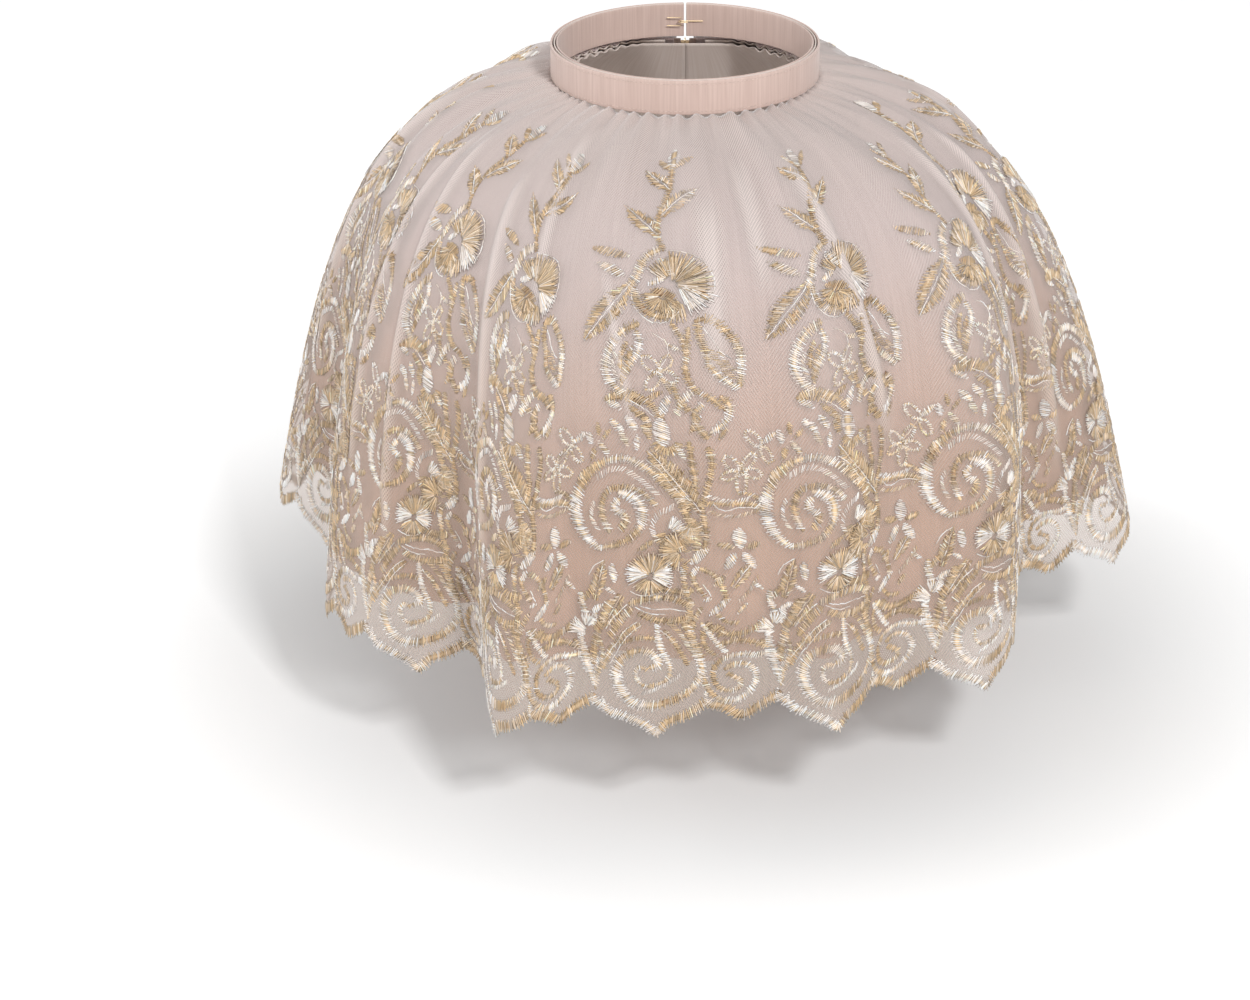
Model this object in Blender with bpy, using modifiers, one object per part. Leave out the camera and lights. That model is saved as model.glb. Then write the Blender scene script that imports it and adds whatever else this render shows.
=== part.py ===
"""A child's gathered dress skirt: embroidered net over a lining and petticoat, with a back zip."""

import math

import bmesh
import bpy
from mathutils import Matrix, Vector

# Bell of the outer net, from the waist seam to the hem line
WAIST_RADIUS = 0.0935
BAND_HEIGHT = 0.024
HEM_RADIUS = 0.290
SKIRT_DROP = 0.378
WAIST_SPREAD = 0.150
WAIST_FALL = 0.020
SHOULDER_RISE = 0.225
HEM_FLARE = 0.016

# Folds round the skirt: angle from the front, reach at the hem and at mid-height as shares of the
# hem's radius, and lean at the waist
FOLDS = (
    (-180.0, -0.140, -0.090, 0.0),
    (-157.0, 0.110, 0.035, 0.0),
    (-135.0, -0.120, -0.055, 0.0),
    (-106.0, 0.115, 0.005, 0.0),
    (-81.0, -0.155, -0.070, -2.0),
    (-61.5, -0.010, -0.030, -4.5),
    (-50.5, 0.000, -0.027, -6.5),
    (-35.5, -0.123, -0.050, -11.0),
    (-19.7, 0.127, 0.005, -8.0),
    (-13.7, 0.020, 0.000, -7.5),
    (0.0, 0.000, 0.000, -4.0),
    (11.0, 0.000, 0.000, 0.0),
    (18.5, 0.042, 0.034, 3.5),
    (30.0, -0.022, -0.012, 6.0),
    (43.5, 0.056, 0.087, 6.0),
    (68.0, -0.130, -0.060, 2.0),
    (92.0, 0.155, 0.035, 0.0),
    (117.0, -0.160, -0.065, 0.0),
    (143.0, 0.155, 0.035, 0.0),
)
BACK = 180.0
SAMPLE_STEP = 0.5
CLOTH_STEPS = 64

# Pleats that the gathers open into below the waistband: waves round the skirt with their share of the
# depth and their start, how the waves wander, where down the bell they are deepest, and the angles
# beside the zip where they die away
PLEAT_DEPTH = 0.0036
PLEAT_WAVES = ((21.0, 1.0, 0.0), (13.0, 0.5, 0.7))
PLEAT_WANDER = (1.5, 4.0)
PLEAT_SHARE = 0.16
PLEAT_CLEAR = (9.0, 18.0)

# Layers of cloth: steps in from the net at the waist, inset at the hem as a share of its radius, and
# share of the folds
LAYER_STEP = 0.0017
OVERLAY = (0.0, 0.0, 1.0)
LINING = (1.0, 0.028, 0.95)
PETTICOAT = (2.0, 0.145, 0.55)
SLIP = (3.5, 0.380, 0.0)
NET_THICKNESS = 0.0006
CLOTH_THICKNESS = 0.0005
SEAM_GAP = 0.0006
BAND_GAP = 0.0004

# Where each layer ends, as a share of the way from waist to hem line
LEVELS = (0.0, 0.12, 0.30, 0.50, 0.66, 0.84, 1.0)
LINING_END = 0.940
YOKE_END = 0.50
FLOUNCE_END = 0.90
SLIP_END = 0.70

# Scalloped edge of the outer net: one large and one small pointed lobe to a repeat, with the
# notches between them above the hem line
REPEATS = 17
LARGE_SHARE = 0.61
LARGE_DIP = 0.026
SMALL_DIP = 0.014
NOTCH_RISE = 0.0125
LOBE_POINT = 1.15
LOBE_STEPS = 4
DIP_BAND = 0.1
BACK_REPEATS = 4
LEFT_SEAM = BACK_REPEATS / REPEATS
RIGHT_SEAM = 1.0 - LEFT_SEAM

# Waistband: outer cloth, stay and facing, one inside the other
OUTER_THICKNESS = 0.0020
STAY_THICKNESS = 0.0014
FACING_THICKNESS = 0.0015
BAND_STEPS = 64
BAND_END_GAP = 0.002

# Straight back opening that holds the zip
ZIP_SHARE = LEVELS[3]
ZIP_FILL = 0.94
ZIP_FLAT = 0.017
ZIP_BLEND = 0.045
ZIP_FADE = 0.3
OVERLAY_SLIT = 0.006
LINING_SLIT = 0.0130
PETTICOAT_SLIT = 0.0145
SLIP_SLIT = 0.016

# Zip pieces, measured across, down and out of the zip's own line
TAPE_DEPTH = 0.0013
TAPE_THICKNESS = 0.0005
TAPE_WIDTH = 0.0090
TAPE_TOP = 0.003
CHAIN_GAP = 0.0008
TOOTH_REACH = 0.0009
RACK_WIDTH = 0.0010
TOOTH_PITCH = 0.0030
TOOTH_FOOT = 0.10
TOOTH_TIP = (0.35, 0.75)
CHAIN_THICKNESS = 0.0020
CHAIN_TOP = 0.012
PIECE_GAP = 0.0004
STOP_LENGTH = 0.003
SLIDER_LENGTH = 0.0090
SLIDER_WIDTH = 0.0090
SLIDER_PLATE = 0.0010
BRIDGE_LENGTH = 0.0030
BAIL_WIRE = 0.0010
BAIL_SPAN = 0.0048
BAIL_HEIGHT = 0.0024
PULL_LENGTH = 0.0205
PULL_WIDTH = 0.0050
PULL_THICKNESS = 0.0009
SLOT_WIDTH = 0.0022
SLOT_LENGTH = 0.0040

# Hook and eye inside the ends of the waistband
WIRE_RADIUS = 0.0004
HOOK_LENGTH = 0.013
HOOK_BEND = 0.0017
HOOK_STEPS = 6
HOOK_PAST = 0.003
HOOK_RETURN = 0.005
HOOK_CLEARANCE = 0.0005
EYE_WIDTH = 0.006

# Colours
NET_COLOUR = (0.60, 0.47, 0.40, 1.0)
LINING_COLOUR = (0.62, 0.46, 0.40, 1.0)
PETTICOAT_COLOUR = (0.74, 0.62, 0.57, 1.0)
SLIP_COLOUR = (0.78, 0.68, 0.62, 1.0)
BAND_COLOUR = (0.66, 0.50, 0.44, 1.0)
TAPE_COLOUR = (0.64, 0.50, 0.44, 1.0)
TEETH_COLOUR = (0.70, 0.58, 0.52, 1.0)
METAL_COLOUR = (0.76, 0.62, 0.42, 1.0)


for old in list(bpy.data.objects):
    bpy.data.objects.remove(old, do_unlink=True)
parts = bpy.data.collections.new("dress_skirt")
cutters = bpy.data.collections.new("cutters")
bpy.context.scene.collection.children.link(parts)
bpy.context.scene.collection.children.link(cutters)


def material(name, colour, roughness, metallic=0.0):
    made = bpy.data.materials.new(name)
    made.use_nodes = True
    shader = made.node_tree.nodes["Principled BSDF"]
    shader.inputs["Base Color"].default_value = colour
    shader.inputs["Roughness"].default_value = roughness
    shader.inputs["Metallic"].default_value = metallic
    return made


def smooth(value):
    value = min(1.0, max(0.0, value))
    return value * value * (3.0 - 2.0 * value)


def fold_at(angle):
    """Reach at the hem, reach at mid-height and lean of the cloth at one angle round the skirt."""
    for here, after in zip(FOLDS, FOLDS[1:] + ((FOLDS[0][0] + 360.0,) + FOLDS[0][1:],)):
        if here[0] <= angle <= after[0]:
            part = 0.5 - 0.5 * math.cos(math.pi * (angle - here[0]) / (after[0] - here[0]))
            return [a + (b - a) * part for a, b in zip(here[1:], after[1:])]
    return FOLDS[0][1:]


def bell(share, inset):
    """Radius and height of the bell at a share of its length, moved inwards by an inset."""
    corners = (
        Vector((WAIST_RADIUS, -BAND_HEIGHT - BAND_GAP)),
        Vector((WAIST_RADIUS + WAIST_SPREAD, -BAND_HEIGHT - WAIST_FALL)),
        Vector((HEM_RADIUS - HEM_FLARE, -SKIRT_DROP + SHOULDER_RISE)),
        Vector((HEM_RADIUS, -SKIRT_DROP)),
    )
    rest = 1.0 - share
    first = (corners[1] - corners[0]) * rest * rest
    middle = (corners[2] - corners[1]) * 2.0 * rest * share
    last = (corners[3] - corners[2]) * share * share
    along = (first + middle + last).normalized()
    point = corners[0] * rest**3 + corners[1] * 3.0 * rest * rest * share
    point += corners[2] * 3.0 * rest * share * share + corners[3] * share**3
    return point.x + along.y * inset, point.y - along.x * inset


def pleat(angle, share):
    """How far the pleats below the waistband stand out from the bell."""
    turn = math.radians(angle)
    wander = PLEAT_WANDER[0] * math.sin(PLEAT_WANDER[1] * turn)
    wave = sum(size * math.sin(count * turn + start + wander) for count, size, start in PLEAT_WAVES)
    fade = share / PLEAT_SHARE * math.exp(1.0 - share / PLEAT_SHARE)
    clear = smooth((BACK - abs(angle) - PLEAT_CLEAR[0]) / PLEAT_CLEAR[1])
    return PLEAT_DEPTH * wave * clear * fade * fade


def drape(angle, share, layer):
    """A point on a layer of the skirt, with its pleats and folds."""
    steps, hem_share, fold_share = layer
    waist_inset = steps * LAYER_STEP
    hem_inset = hem_share * HEM_RADIUS
    hem_reach, mid_reach, lean = fold_at(angle)
    reach = share * (2.0 * share - 1.0) * hem_reach + 4.0 * share * (1.0 - share) * mid_reach
    inset = waist_inset + (hem_inset - waist_inset) * share - fold_share * pleat(angle, share)
    radius, height = bell(share, inset)
    radius += fold_share * reach * HEM_RADIUS
    turn = math.radians(angle + (1.0 - share) * lean)
    return Vector((radius * math.sin(turn), -radius * math.cos(turn), height))


def back_line(share, layer):
    """A point on the straight line that the zip keeps at the centre back."""
    top = drape(BACK, 0.0, layer)
    end = drape(BACK, ZIP_SHARE, layer)
    return top + (end - top) * (share / ZIP_SHARE)


def hang(angle, share, layer):
    """A point on a layer of the skirt, drawn flat beside the zip."""
    point = drape(angle, share, layer)
    near = 1.0 - smooth((abs(point.x) - ZIP_FLAT) / ZIP_BLEND)
    above = 1.0 - smooth((share / ZIP_SHARE - 1.0) / ZIP_FADE)
    if point.y > 0.0 and near * above > 0.0:
        line = back_line(share, layer)
        point.y += (line.y - point.y) * near * above
        point.z += (line.z - point.z) * near * above
    return point


# Angles at even steps of the hem's length, measured from the centre back
sample_angles = [SAMPLE_STEP * step - BACK for step in range(int(2.0 * BACK / SAMPLE_STEP) + 1)]
hem_line = [drape(angle, 1.0, OVERLAY) for angle in sample_angles]
hem_run = [0.0]
for before, after in zip(hem_line, hem_line[1:]):
    hem_run.append(hem_run[-1] + (after - before).length)


def angle_at(part):
    """The angle at a part of the way round the hem."""
    target = part * hem_run[-1]
    for step in range(len(hem_run) - 1):
        if hem_run[step + 1] >= target:
            share = (target - hem_run[step]) / (hem_run[step + 1] - hem_run[step])
            return sample_angles[step] + share * (sample_angles[step + 1] - sample_angles[step])
    return sample_angles[-1]


def part_at(angle):
    """The part of the way round the hem at an angle."""
    position = (angle + BACK) / SAMPLE_STEP
    step = min(int(position), len(hem_run) - 2)
    return (hem_run[step] + (position - step) * (hem_run[step + 1] - hem_run[step])) / hem_run[-1]


def lobe(place):
    """Depth of a lobe at a place across it, as a share of its full depth."""
    return 1.0 - abs(2.0 * place - 1.0) ** LOBE_POINT


def dip_at(angle):
    """How far the scalloped edge hangs below the hem line."""
    place = (part_at(angle) * REPEATS) % 1.0
    if place < LARGE_SHARE:
        return LARGE_DIP * lobe(place / LARGE_SHARE) - NOTCH_RISE
    return SMALL_DIP * lobe((place - LARGE_SHARE) / (1.0 - LARGE_SHARE)) - NOTCH_RISE


def lobe_angles(first, last):
    """Angles between two seams, a few to each lobe."""
    found = []
    for repeat in range(round(first * REPEATS), round(last * REPEATS)):
        for step in range(LOBE_STEPS):
            found.append(angle_at((repeat + LARGE_SHARE * step / LOBE_STEPS) / REPEATS))
        for step in range(LOBE_STEPS):
            place = LARGE_SHARE + (1.0 - LARGE_SHARE) * step / LOBE_STEPS
            found.append(angle_at((repeat + place) / REPEATS))
    found.append(angle_at(last))
    return found


def even_angles(first, last, steps):
    return [angle_at(first + (last - first) * step / steps) for step in range(steps + 1)]


def levels(first, last):
    """The heights that a layer's rows share with the other layers, with the layer's own ends."""
    return [first] + [level for level in LEVELS if first < level < last] + [last]


def seam(share):
    return 0.5 * SEAM_GAP


def placket(slit):
    """Half width of the back opening, which closes to a seam below the zip."""

    def half_width(share):
        return slit + (0.5 * SEAM_GAP - slit) * smooth((share / ZIP_SHARE - 1.0) / ZIP_FADE)

    return half_width


def named(thing, name, look):
    thing.name = name
    thing.data.name = name
    thing.data.materials.append(look)
    return thing


def sheet(name, columns, rows, place, thickness, look):
    """A grid bent to a surface and given a thickness on its inner side."""
    bm = bmesh.new()
    bmesh.ops.create_grid(bm, x_segments=columns, y_segments=rows, size=0.5)
    for vert in bm.verts:
        vert.co = place(round((vert.co.x + 0.5) * columns), round((0.5 - vert.co.y) * rows))
    mesh = bpy.data.meshes.new(name)
    bm.to_mesh(mesh)
    bm.free()
    mesh.shade_smooth()
    thing = bpy.data.objects.new(name, mesh)
    parts.objects.link(thing)
    solid = thing.modifiers.new("thickness", "SOLIDIFY")
    solid.thickness = thickness
    solid.offset = -1.0
    return named(thing, name, look)


def panel(name, angles, shares, layer, thickness, look, left=seam, right=seam, scallops=False):
    """One width of cloth between two seams."""

    def place(column, row):
        share = shares[row]
        radius = Vector(drape(angles[column], share, layer).xy).length
        first = angles[0] + math.degrees(left(share) / radius)
        last = angles[-1] - math.degrees(right(share) / radius)
        part = (angles[column] - angles[0]) / (angles[-1] - angles[0])
        angle = first + (last - first) * part
        point = hang(angle, share, layer)
        if scallops:
            point.z -= dip_at(angles[column]) * max(0.0, share - 1.0 + DIP_BAND) / DIP_BAND
        return point

    return sheet(name, len(angles) - 1, len(shares) - 1, place, thickness, look)


net_look = material("embroidered_net", NET_COLOUR, 0.8)
lining_look = material("satin_lining", LINING_COLOUR, 0.5)
petticoat_look = material("petticoat_net", PETTICOAT_COLOUR, 0.85)
slip_look = material("cotton_slip", SLIP_COLOUR, 0.85)
band_look = material("satin_band", BAND_COLOUR, 0.5)
tape_look = material("zip_tape", TAPE_COLOUR, 0.8)
teeth_look = material("zip_teeth", TEETH_COLOUR, 0.4)
metal_look = material("pale_brass", METAL_COLOUR, 0.3, 1.0)

# Outer net in a front width and two back widths
net_slit = placket(OVERLAY_SLIT)
net = (levels(0.0, 1.0), OVERLAY, NET_THICKNESS, net_look)
panel("overlay_back_left", lobe_angles(0.0, LEFT_SEAM), *net, left=net_slit, scallops=True)
panel("overlay_front", lobe_angles(LEFT_SEAM, RIGHT_SEAM), *net, scallops=True)
panel("overlay_back_right", lobe_angles(RIGHT_SEAM, 1.0), *net, right=net_slit, scallops=True)

# Lining in three widths, shorter than the net
lining_slit = placket(LINING_SLIT)
satin = (levels(0.0, LINING_END), LINING, CLOTH_THICKNESS, lining_look)
panel("lining_back_left", lobe_angles(0.0, LEFT_SEAM), *satin, left=lining_slit)
panel("lining_front", lobe_angles(LEFT_SEAM, RIGHT_SEAM), *satin)
panel("lining_back_right", lobe_angles(RIGHT_SEAM, 1.0), *satin, right=lining_slit)

# Petticoat: a yoke with a net flounce below it
round_slit = placket(PETTICOAT_SLIT)
flounce_top = YOKE_END + 2.0 * SEAM_GAP / SKIRT_DROP
yoke = (levels(0.0, YOKE_END), PETTICOAT, CLOTH_THICKNESS, slip_look)
flounce = (levels(flounce_top, FLOUNCE_END), PETTICOAT, CLOTH_THICKNESS, petticoat_look)
panel("petticoat_yoke", even_angles(0.0, 1.0, 2 * CLOTH_STEPS), *yoke, left=round_slit, right=round_slit)
panel("petticoat_flounce", even_angles(0.0, 1.0, CLOTH_STEPS), *flounce, left=round_slit, right=round_slit)

# Inner slip
slip_slit = placket(SLIP_SLIT)
cotton = (levels(0.0, SLIP_END), SLIP, CLOTH_THICKNESS, slip_look)
panel("slip", even_angles(0.0, 1.0, CLOTH_STEPS // 2), *cotton, left=slip_slit, right=slip_slit)


def band(name, radius, thickness, look):
    """A ring of the waistband, open at the centre back."""
    open_angle = math.asin(BAND_END_GAP / radius)

    def place(column, row):
        turn = -math.pi + open_angle + (2.0 * math.pi - 2.0 * open_angle) * column / BAND_STEPS
        return Vector((radius * math.sin(turn), -radius * math.cos(turn), -BAND_HEIGHT * row))

    return sheet(name, BAND_STEPS, 1, place, thickness, look)


# Waistband rings, with the outer one just proud of the gathers
outer_radius = WAIST_RADIUS + 0.5 * OUTER_THICKNESS
stay_radius = outer_radius - OUTER_THICKNESS - BAND_GAP
facing_radius = stay_radius - STAY_THICKNESS - BAND_GAP
inner_radius = facing_radius - FACING_THICKNESS
band("waistband_outer", outer_radius, OUTER_THICKNESS, band_look)
band("waistband_stay", stay_radius, STAY_THICKNESS, slip_look)
band("waistband_facing", facing_radius, FACING_THICKNESS, lining_look)

# The zip's own line: X across, Y down the opening, Z out of the skirt
zip_top = back_line(0.0, OVERLAY)
zip_run = back_line(ZIP_SHARE, OVERLAY) - zip_top
zip_line = bpy.data.objects.new("zip_line", None)
zip_line.location = zip_top
zip_line.rotation_euler = (-math.atan2(-zip_run.z, zip_run.y), 0.0, 0.0)
parts.objects.link(zip_line)
tape_end = zip_run.length * ZIP_FILL
chain_end = tape_end - STOP_LENGTH - 2.0 * PIECE_GAP
tooth_count = int((chain_end - CHAIN_TOP) / TOOTH_PITCH)
tape_middle = -TAPE_DEPTH


def block(name, low, high, group):
    """A cuboid between two corners, with its origin at its middle."""
    low = Vector(low)
    high = Vector(high)
    bpy.ops.mesh.primitive_cube_add(size=1.0, location=(low + high) / 2.0)
    thing = bpy.context.object
    thing.data.transform(Matrix.Diagonal((*(high - low), 1.0)))
    for held in list(thing.users_collection):
        held.objects.unlink(thing)
    group.objects.link(thing)
    thing.name = name
    return thing


def on_zip(thing, name, look):
    thing.parent = zip_line
    return named(thing, name, look)


def combine(thing, tool, operation):
    """Join a hidden solid to a piece, or cut it away."""
    tool.parent = zip_line
    tool.hide_render = True
    tool.display_type = "WIRE"
    step = thing.modifiers.new(operation.lower(), "BOOLEAN")
    step.operation = operation
    step.solver = "EXACT"
    step.object = tool


def rack(name, side, look):
    """A row of teeth on a spine, standing along one side of the zip."""
    inner = CHAIN_GAP
    spine = CHAIN_GAP + TOOTH_REACH
    outer = spine + RACK_WIDTH
    outline = [(outer, CHAIN_TOP), (outer, CHAIN_TOP + tooth_count * TOOTH_PITCH)]
    for tooth in reversed(range(tooth_count)):
        top = CHAIN_TOP + tooth * TOOTH_PITCH
        outline.append((spine, top + TOOTH_PITCH))
        outline.append((inner, top + TOOTH_TIP[1] * TOOTH_PITCH))
        outline.append((inner, top + TOOTH_TIP[0] * TOOTH_PITCH))
        outline.append((spine, top + TOOTH_FOOT * TOOTH_PITCH))
    outline.append((spine, CHAIN_TOP))
    low = tape_middle - 0.5 * CHAIN_THICKNESS
    bm = bmesh.new()
    face = bm.faces.new([bm.verts.new((side * x, y, low)) for x, y in outline])
    raised = bmesh.ops.extrude_face_region(bm, geom=[face])["geom"]
    moved = [item for item in raised if isinstance(item, bmesh.types.BMVert)]
    bmesh.ops.translate(bm, verts=moved, vec=(0.0, 0.0, CHAIN_THICKNESS))
    bmesh.ops.recalc_face_normals(bm, faces=bm.faces)
    mesh = bpy.data.meshes.new(name)
    bm.to_mesh(mesh)
    bm.free()
    thing = bpy.data.objects.new(name, mesh)
    parts.objects.link(thing)
    return on_zip(thing, name, look)


# Tapes and teeth, one of each on either side
rack_outer = CHAIN_GAP + TOOTH_REACH + RACK_WIDTH
tape_inner = rack_outer + PIECE_GAP
tape_low = tape_middle - 0.5 * TAPE_THICKNESS
tape_high = tape_middle + 0.5 * TAPE_THICKNESS
chain_low = tape_middle - 0.5 * CHAIN_THICKNESS
chain_high = tape_middle + 0.5 * CHAIN_THICKNESS
for side, hand in ((-1.0, "left"), (1.0, "right")):
    edges = sorted((side * tape_inner, side * (tape_inner + TAPE_WIDTH)))
    tape = block("tape", (edges[0], TAPE_TOP, tape_low), (edges[1], tape_end, tape_high), parts)
    on_zip(tape, "zip_tape_" + hand, tape_look)
    rack("zip_teeth_" + hand, side, teeth_look)
    ends = sorted((side * CHAIN_GAP, side * rack_outer))
    stop_low = CHAIN_TOP - PIECE_GAP - STOP_LENGTH
    stop_high = CHAIN_TOP - PIECE_GAP
    stop = block("stop", (ends[0], stop_low, chain_low), (ends[1], stop_high, chain_high), parts)
    on_zip(stop, "zip_top_stop_" + hand, metal_look)
stop_top = CHAIN_TOP + tooth_count * TOOTH_PITCH + PIECE_GAP
stop_end = stop_top + STOP_LENGTH
stop = block("stop", (-rack_outer, stop_top, chain_low), (rack_outer, stop_end, chain_high), parts)
on_zip(stop, "zip_bottom_stop", metal_look)

# Slider: two plates on a bridge that runs between the rows of teeth, with a bail for the pull
half_width = 0.5 * SLIDER_WIDTH
half_length = 0.5 * SLIDER_LENGTH
plate_low = chain_high + PIECE_GAP
plate_high = plate_low + SLIDER_PLATE
under_high = chain_low - PIECE_GAP
under_low = under_high - SLIDER_PLATE
slider_rest = CHAIN_TOP + PIECE_GAP + half_length
slider_top = slider_rest - half_length
slider_end = slider_rest + half_length
slider = block("slider", (-half_width, slider_top, plate_low), (half_width, slider_end, plate_high), parts)
on_zip(slider, "zip_slider", metal_look)
sunk = 0.5 * SLIDER_PLATE
bridge_half = CHAIN_GAP - PIECE_GAP
under = block("under", (-half_width, slider_top, under_low), (half_width, slider_end, under_high), cutters)
bridge_low = (-bridge_half, slider_top + PIECE_GAP, under_high - sunk)
bridge_high = (bridge_half, slider_top + BRIDGE_LENGTH, plate_low + sunk)
bridge = block("bridge", bridge_low, bridge_high, cutters)
combine(slider, bridge, "UNION")
combine(slider, under, "UNION")
bail_half = 0.5 * BAIL_WIRE
bail_reach = 0.5 * BAIL_SPAN + bail_half
bail_top = plate_high + BAIL_HEIGHT
bail_low = (-bail_half, slider_rest - bail_reach, plate_high - sunk)
bail_high = (bail_half, slider_rest + bail_reach, bail_top + BAIL_WIRE)
bail = block("bail", bail_low, bail_high, cutters)
gap_low = (-BAIL_WIRE, slider_rest - bail_reach + BAIL_WIRE, plate_high)
gap_high = (BAIL_WIRE, slider_rest + bail_reach - BAIL_WIRE, bail_top)
bail_gap = block("bail_gap", gap_low, gap_high, cutters)
combine(bail, bail_gap, "DIFFERENCE")
combine(slider, bail, "UNION")

# Pull: a flat tab with a slot, turning on its end bar under the bail
pull_height = plate_high + 0.5 * BAIL_HEIGHT
bar_half = 0.5 * PULL_THICKNESS
pull_low = (-0.5 * PULL_WIDTH, slider_rest - bar_half, pull_height - bar_half)
pull_high = (0.5 * PULL_WIDTH, slider_rest - bar_half + PULL_LENGTH, pull_height + bar_half)
pull = block("pull", pull_low, pull_high, parts)
hinge = Vector((0.0, slider_rest, pull_height))
pull.data.transform(Matrix.Translation((0.0, pull.location.y - hinge.y, 0.0)))
pull.location = hinge
on_zip(pull, "zip_pull", metal_look)
slot_low = (-0.5 * SLOT_WIDTH, slider_rest + bar_half, pull_height - PULL_THICKNESS)
slot_high = (0.5 * SLOT_WIDTH, slider_rest + bar_half + SLOT_LENGTH, pull_height + PULL_THICKNESS)
combine(pull, block("slot", slot_low, slot_high, cutters), "DIFFERENCE")


def wire(name, points, look):
    """A bent wire with closed ends."""
    curve = bpy.data.curves.new(name, "CURVE")
    curve.dimensions = "3D"
    curve.bevel_depth = WIRE_RADIUS
    curve.bevel_resolution = 1
    curve.use_fill_caps = True
    line = curve.splines.new("POLY")
    line.points.add(len(points) - 1)
    for spot, point in zip(line.points, points):
        spot.co = (*point, 1.0)
    thing = bpy.data.objects.new(name, curve)
    parts.objects.link(thing)
    return named(thing, name, look)


# Hook on the right end of the waistband, round the bar of the eye on the left end
wire_height = -0.5 * BAND_HEIGHT
strand = math.sqrt(inner_radius**2 - HOOK_LENGTH**2) - HOOK_CLEARANCE - WIRE_RADIUS
bar = strand - HOOK_BEND
hook_points = [(HOOK_LENGTH, strand, wire_height)]
for step in range(HOOK_STEPS + 1):
    turn = math.pi * step / HOOK_STEPS
    bend_x = -HOOK_PAST - HOOK_BEND * math.sin(turn)
    hook_points.append((bend_x, bar + HOOK_BEND * math.cos(turn), wire_height))
hook_points.append((HOOK_RETURN - HOOK_PAST, bar - HOOK_BEND, wire_height))
wire("waist_hook", hook_points, metal_look)
eye_low = wire_height - 0.5 * EYE_WIDTH
eye_high = wire_height + 0.5 * EYE_WIDTH
eye_points = [
    (-HOOK_LENGTH, bar, eye_low),
    (-HOOK_PAST, bar, eye_low),
    (-HOOK_PAST, bar, eye_high),
    (-HOOK_LENGTH, bar, eye_high),
]
wire("waist_eye", eye_points, metal_look)
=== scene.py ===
"""A child's gathered dress skirt in embroidered net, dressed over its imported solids."""

import math

import bpy
import numpy as np
from mathutils import Matrix, Vector


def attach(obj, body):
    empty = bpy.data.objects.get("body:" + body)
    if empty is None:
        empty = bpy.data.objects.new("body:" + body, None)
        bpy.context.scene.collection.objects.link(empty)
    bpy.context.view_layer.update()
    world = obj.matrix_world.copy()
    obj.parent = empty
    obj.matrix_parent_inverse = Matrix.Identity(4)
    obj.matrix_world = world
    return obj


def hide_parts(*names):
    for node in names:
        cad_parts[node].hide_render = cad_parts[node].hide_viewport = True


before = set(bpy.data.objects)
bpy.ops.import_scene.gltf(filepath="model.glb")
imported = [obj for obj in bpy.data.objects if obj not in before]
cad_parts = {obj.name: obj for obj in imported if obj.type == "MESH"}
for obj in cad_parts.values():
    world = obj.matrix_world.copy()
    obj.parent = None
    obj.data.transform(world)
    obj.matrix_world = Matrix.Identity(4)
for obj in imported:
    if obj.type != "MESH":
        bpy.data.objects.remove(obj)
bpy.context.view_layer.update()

# The slip is the innermost layer: a plain cone of soft cotton, cut in one width and gathered on to
# the waistband's facing, with its back edges meeting behind the zip and a turned hem.
# The bell, its folds and its gathers are worked out here, and every other layer follows them.
WAIST_RADIUS = 0.0935
BAND_HEIGHT = 0.024
BAND_GAP = 0.0004
HEM_RADIUS = 0.290
SKIRT_DROP = 0.378
WAIST_SPREAD = 0.150
WAIST_FALL = 0.020
SHOULDER_RISE = 0.225
HEM_FLARE = 0.016
LAYER_STEP = 0.0017
SEAM_GAP = 0.00015
ZIP_SHARE = 0.50
ZIP_FLAT = 0.017
ZIP_BLEND = 0.045
ZIP_FADE = 0.3
SLIT_FADE = 0.02
BACK = 180.0
HEM_STEPS = 3600
REPEATS = 17
BACK_REPEATS = 4
LEFT_SEAM = BACK_REPEATS / REPEATS
RIGHT_SEAM = 1.0 - LEFT_SEAM
CLOTH_THICKNESS = 0.0005
HEM_WAVES = (190.0, 2.0, 44.0)
SLIP = (3.5, 0.380, 0.0)
SLIP_END = 0.70
SLIP_ROWS = 60
SLIP_COLUMNS = 360
SLIP_SLIT = (0.0, 1.0)
COTTON_DARK = (0.72, 0.62, 0.56)
COTTON_LIGHT = (0.80, 0.71, 0.66)
CLOTH_GLOSS = 0.25
CLOTH_SHEEN = 0.5
WEAVE_DEPTH = 0.3
WEAVE_BUMP = 0.5
SLUB_THREADS = (4.0, 150.0)
# Heights above the hem over which the painted hem shade fades out
HEM_SHADE_HEIGHTS = (0.13, 0.28)

# A band texture at a scale of one repeats at this length
BAND_TURN = 0.3142

# Each fold is its angle from the front, its reach at the hem and at mid-height as shares of the
# hem's radius, and its lean at the waist
FOLDS = np.array((
    (-180.0, -0.140, -0.090, 0.0),
    (-157.0, 0.110, 0.035, 0.0),
    (-135.0, -0.120, -0.055, 0.0),
    (-106.0, 0.115, 0.005, 0.0),
    (-81.0, -0.155, -0.070, -2.0),
    (-61.5, -0.010, -0.030, -4.5),
    (-50.5, 0.000, -0.027, -6.5),
    (-35.5, -0.123, -0.050, -11.0),
    (-19.7, 0.127, 0.005, -8.0),
    (-13.7, 0.020, 0.000, -7.5),
    (0.0, 0.000, 0.000, -4.0),
    (11.0, 0.000, 0.000, 0.0),
    (18.5, 0.042, 0.034, 3.5),
    (30.0, -0.022, -0.012, 6.0),
    (43.5, 0.056, 0.087, 6.0),
    (68.0, -0.130, -0.060, 2.0),
    (92.0, 0.155, 0.035, 0.0),
    (117.0, -0.160, -0.065, 0.0),
    (143.0, 0.155, 0.035, 0.0),
    (180.0, -0.140, -0.090, 0.0),
))

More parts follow.
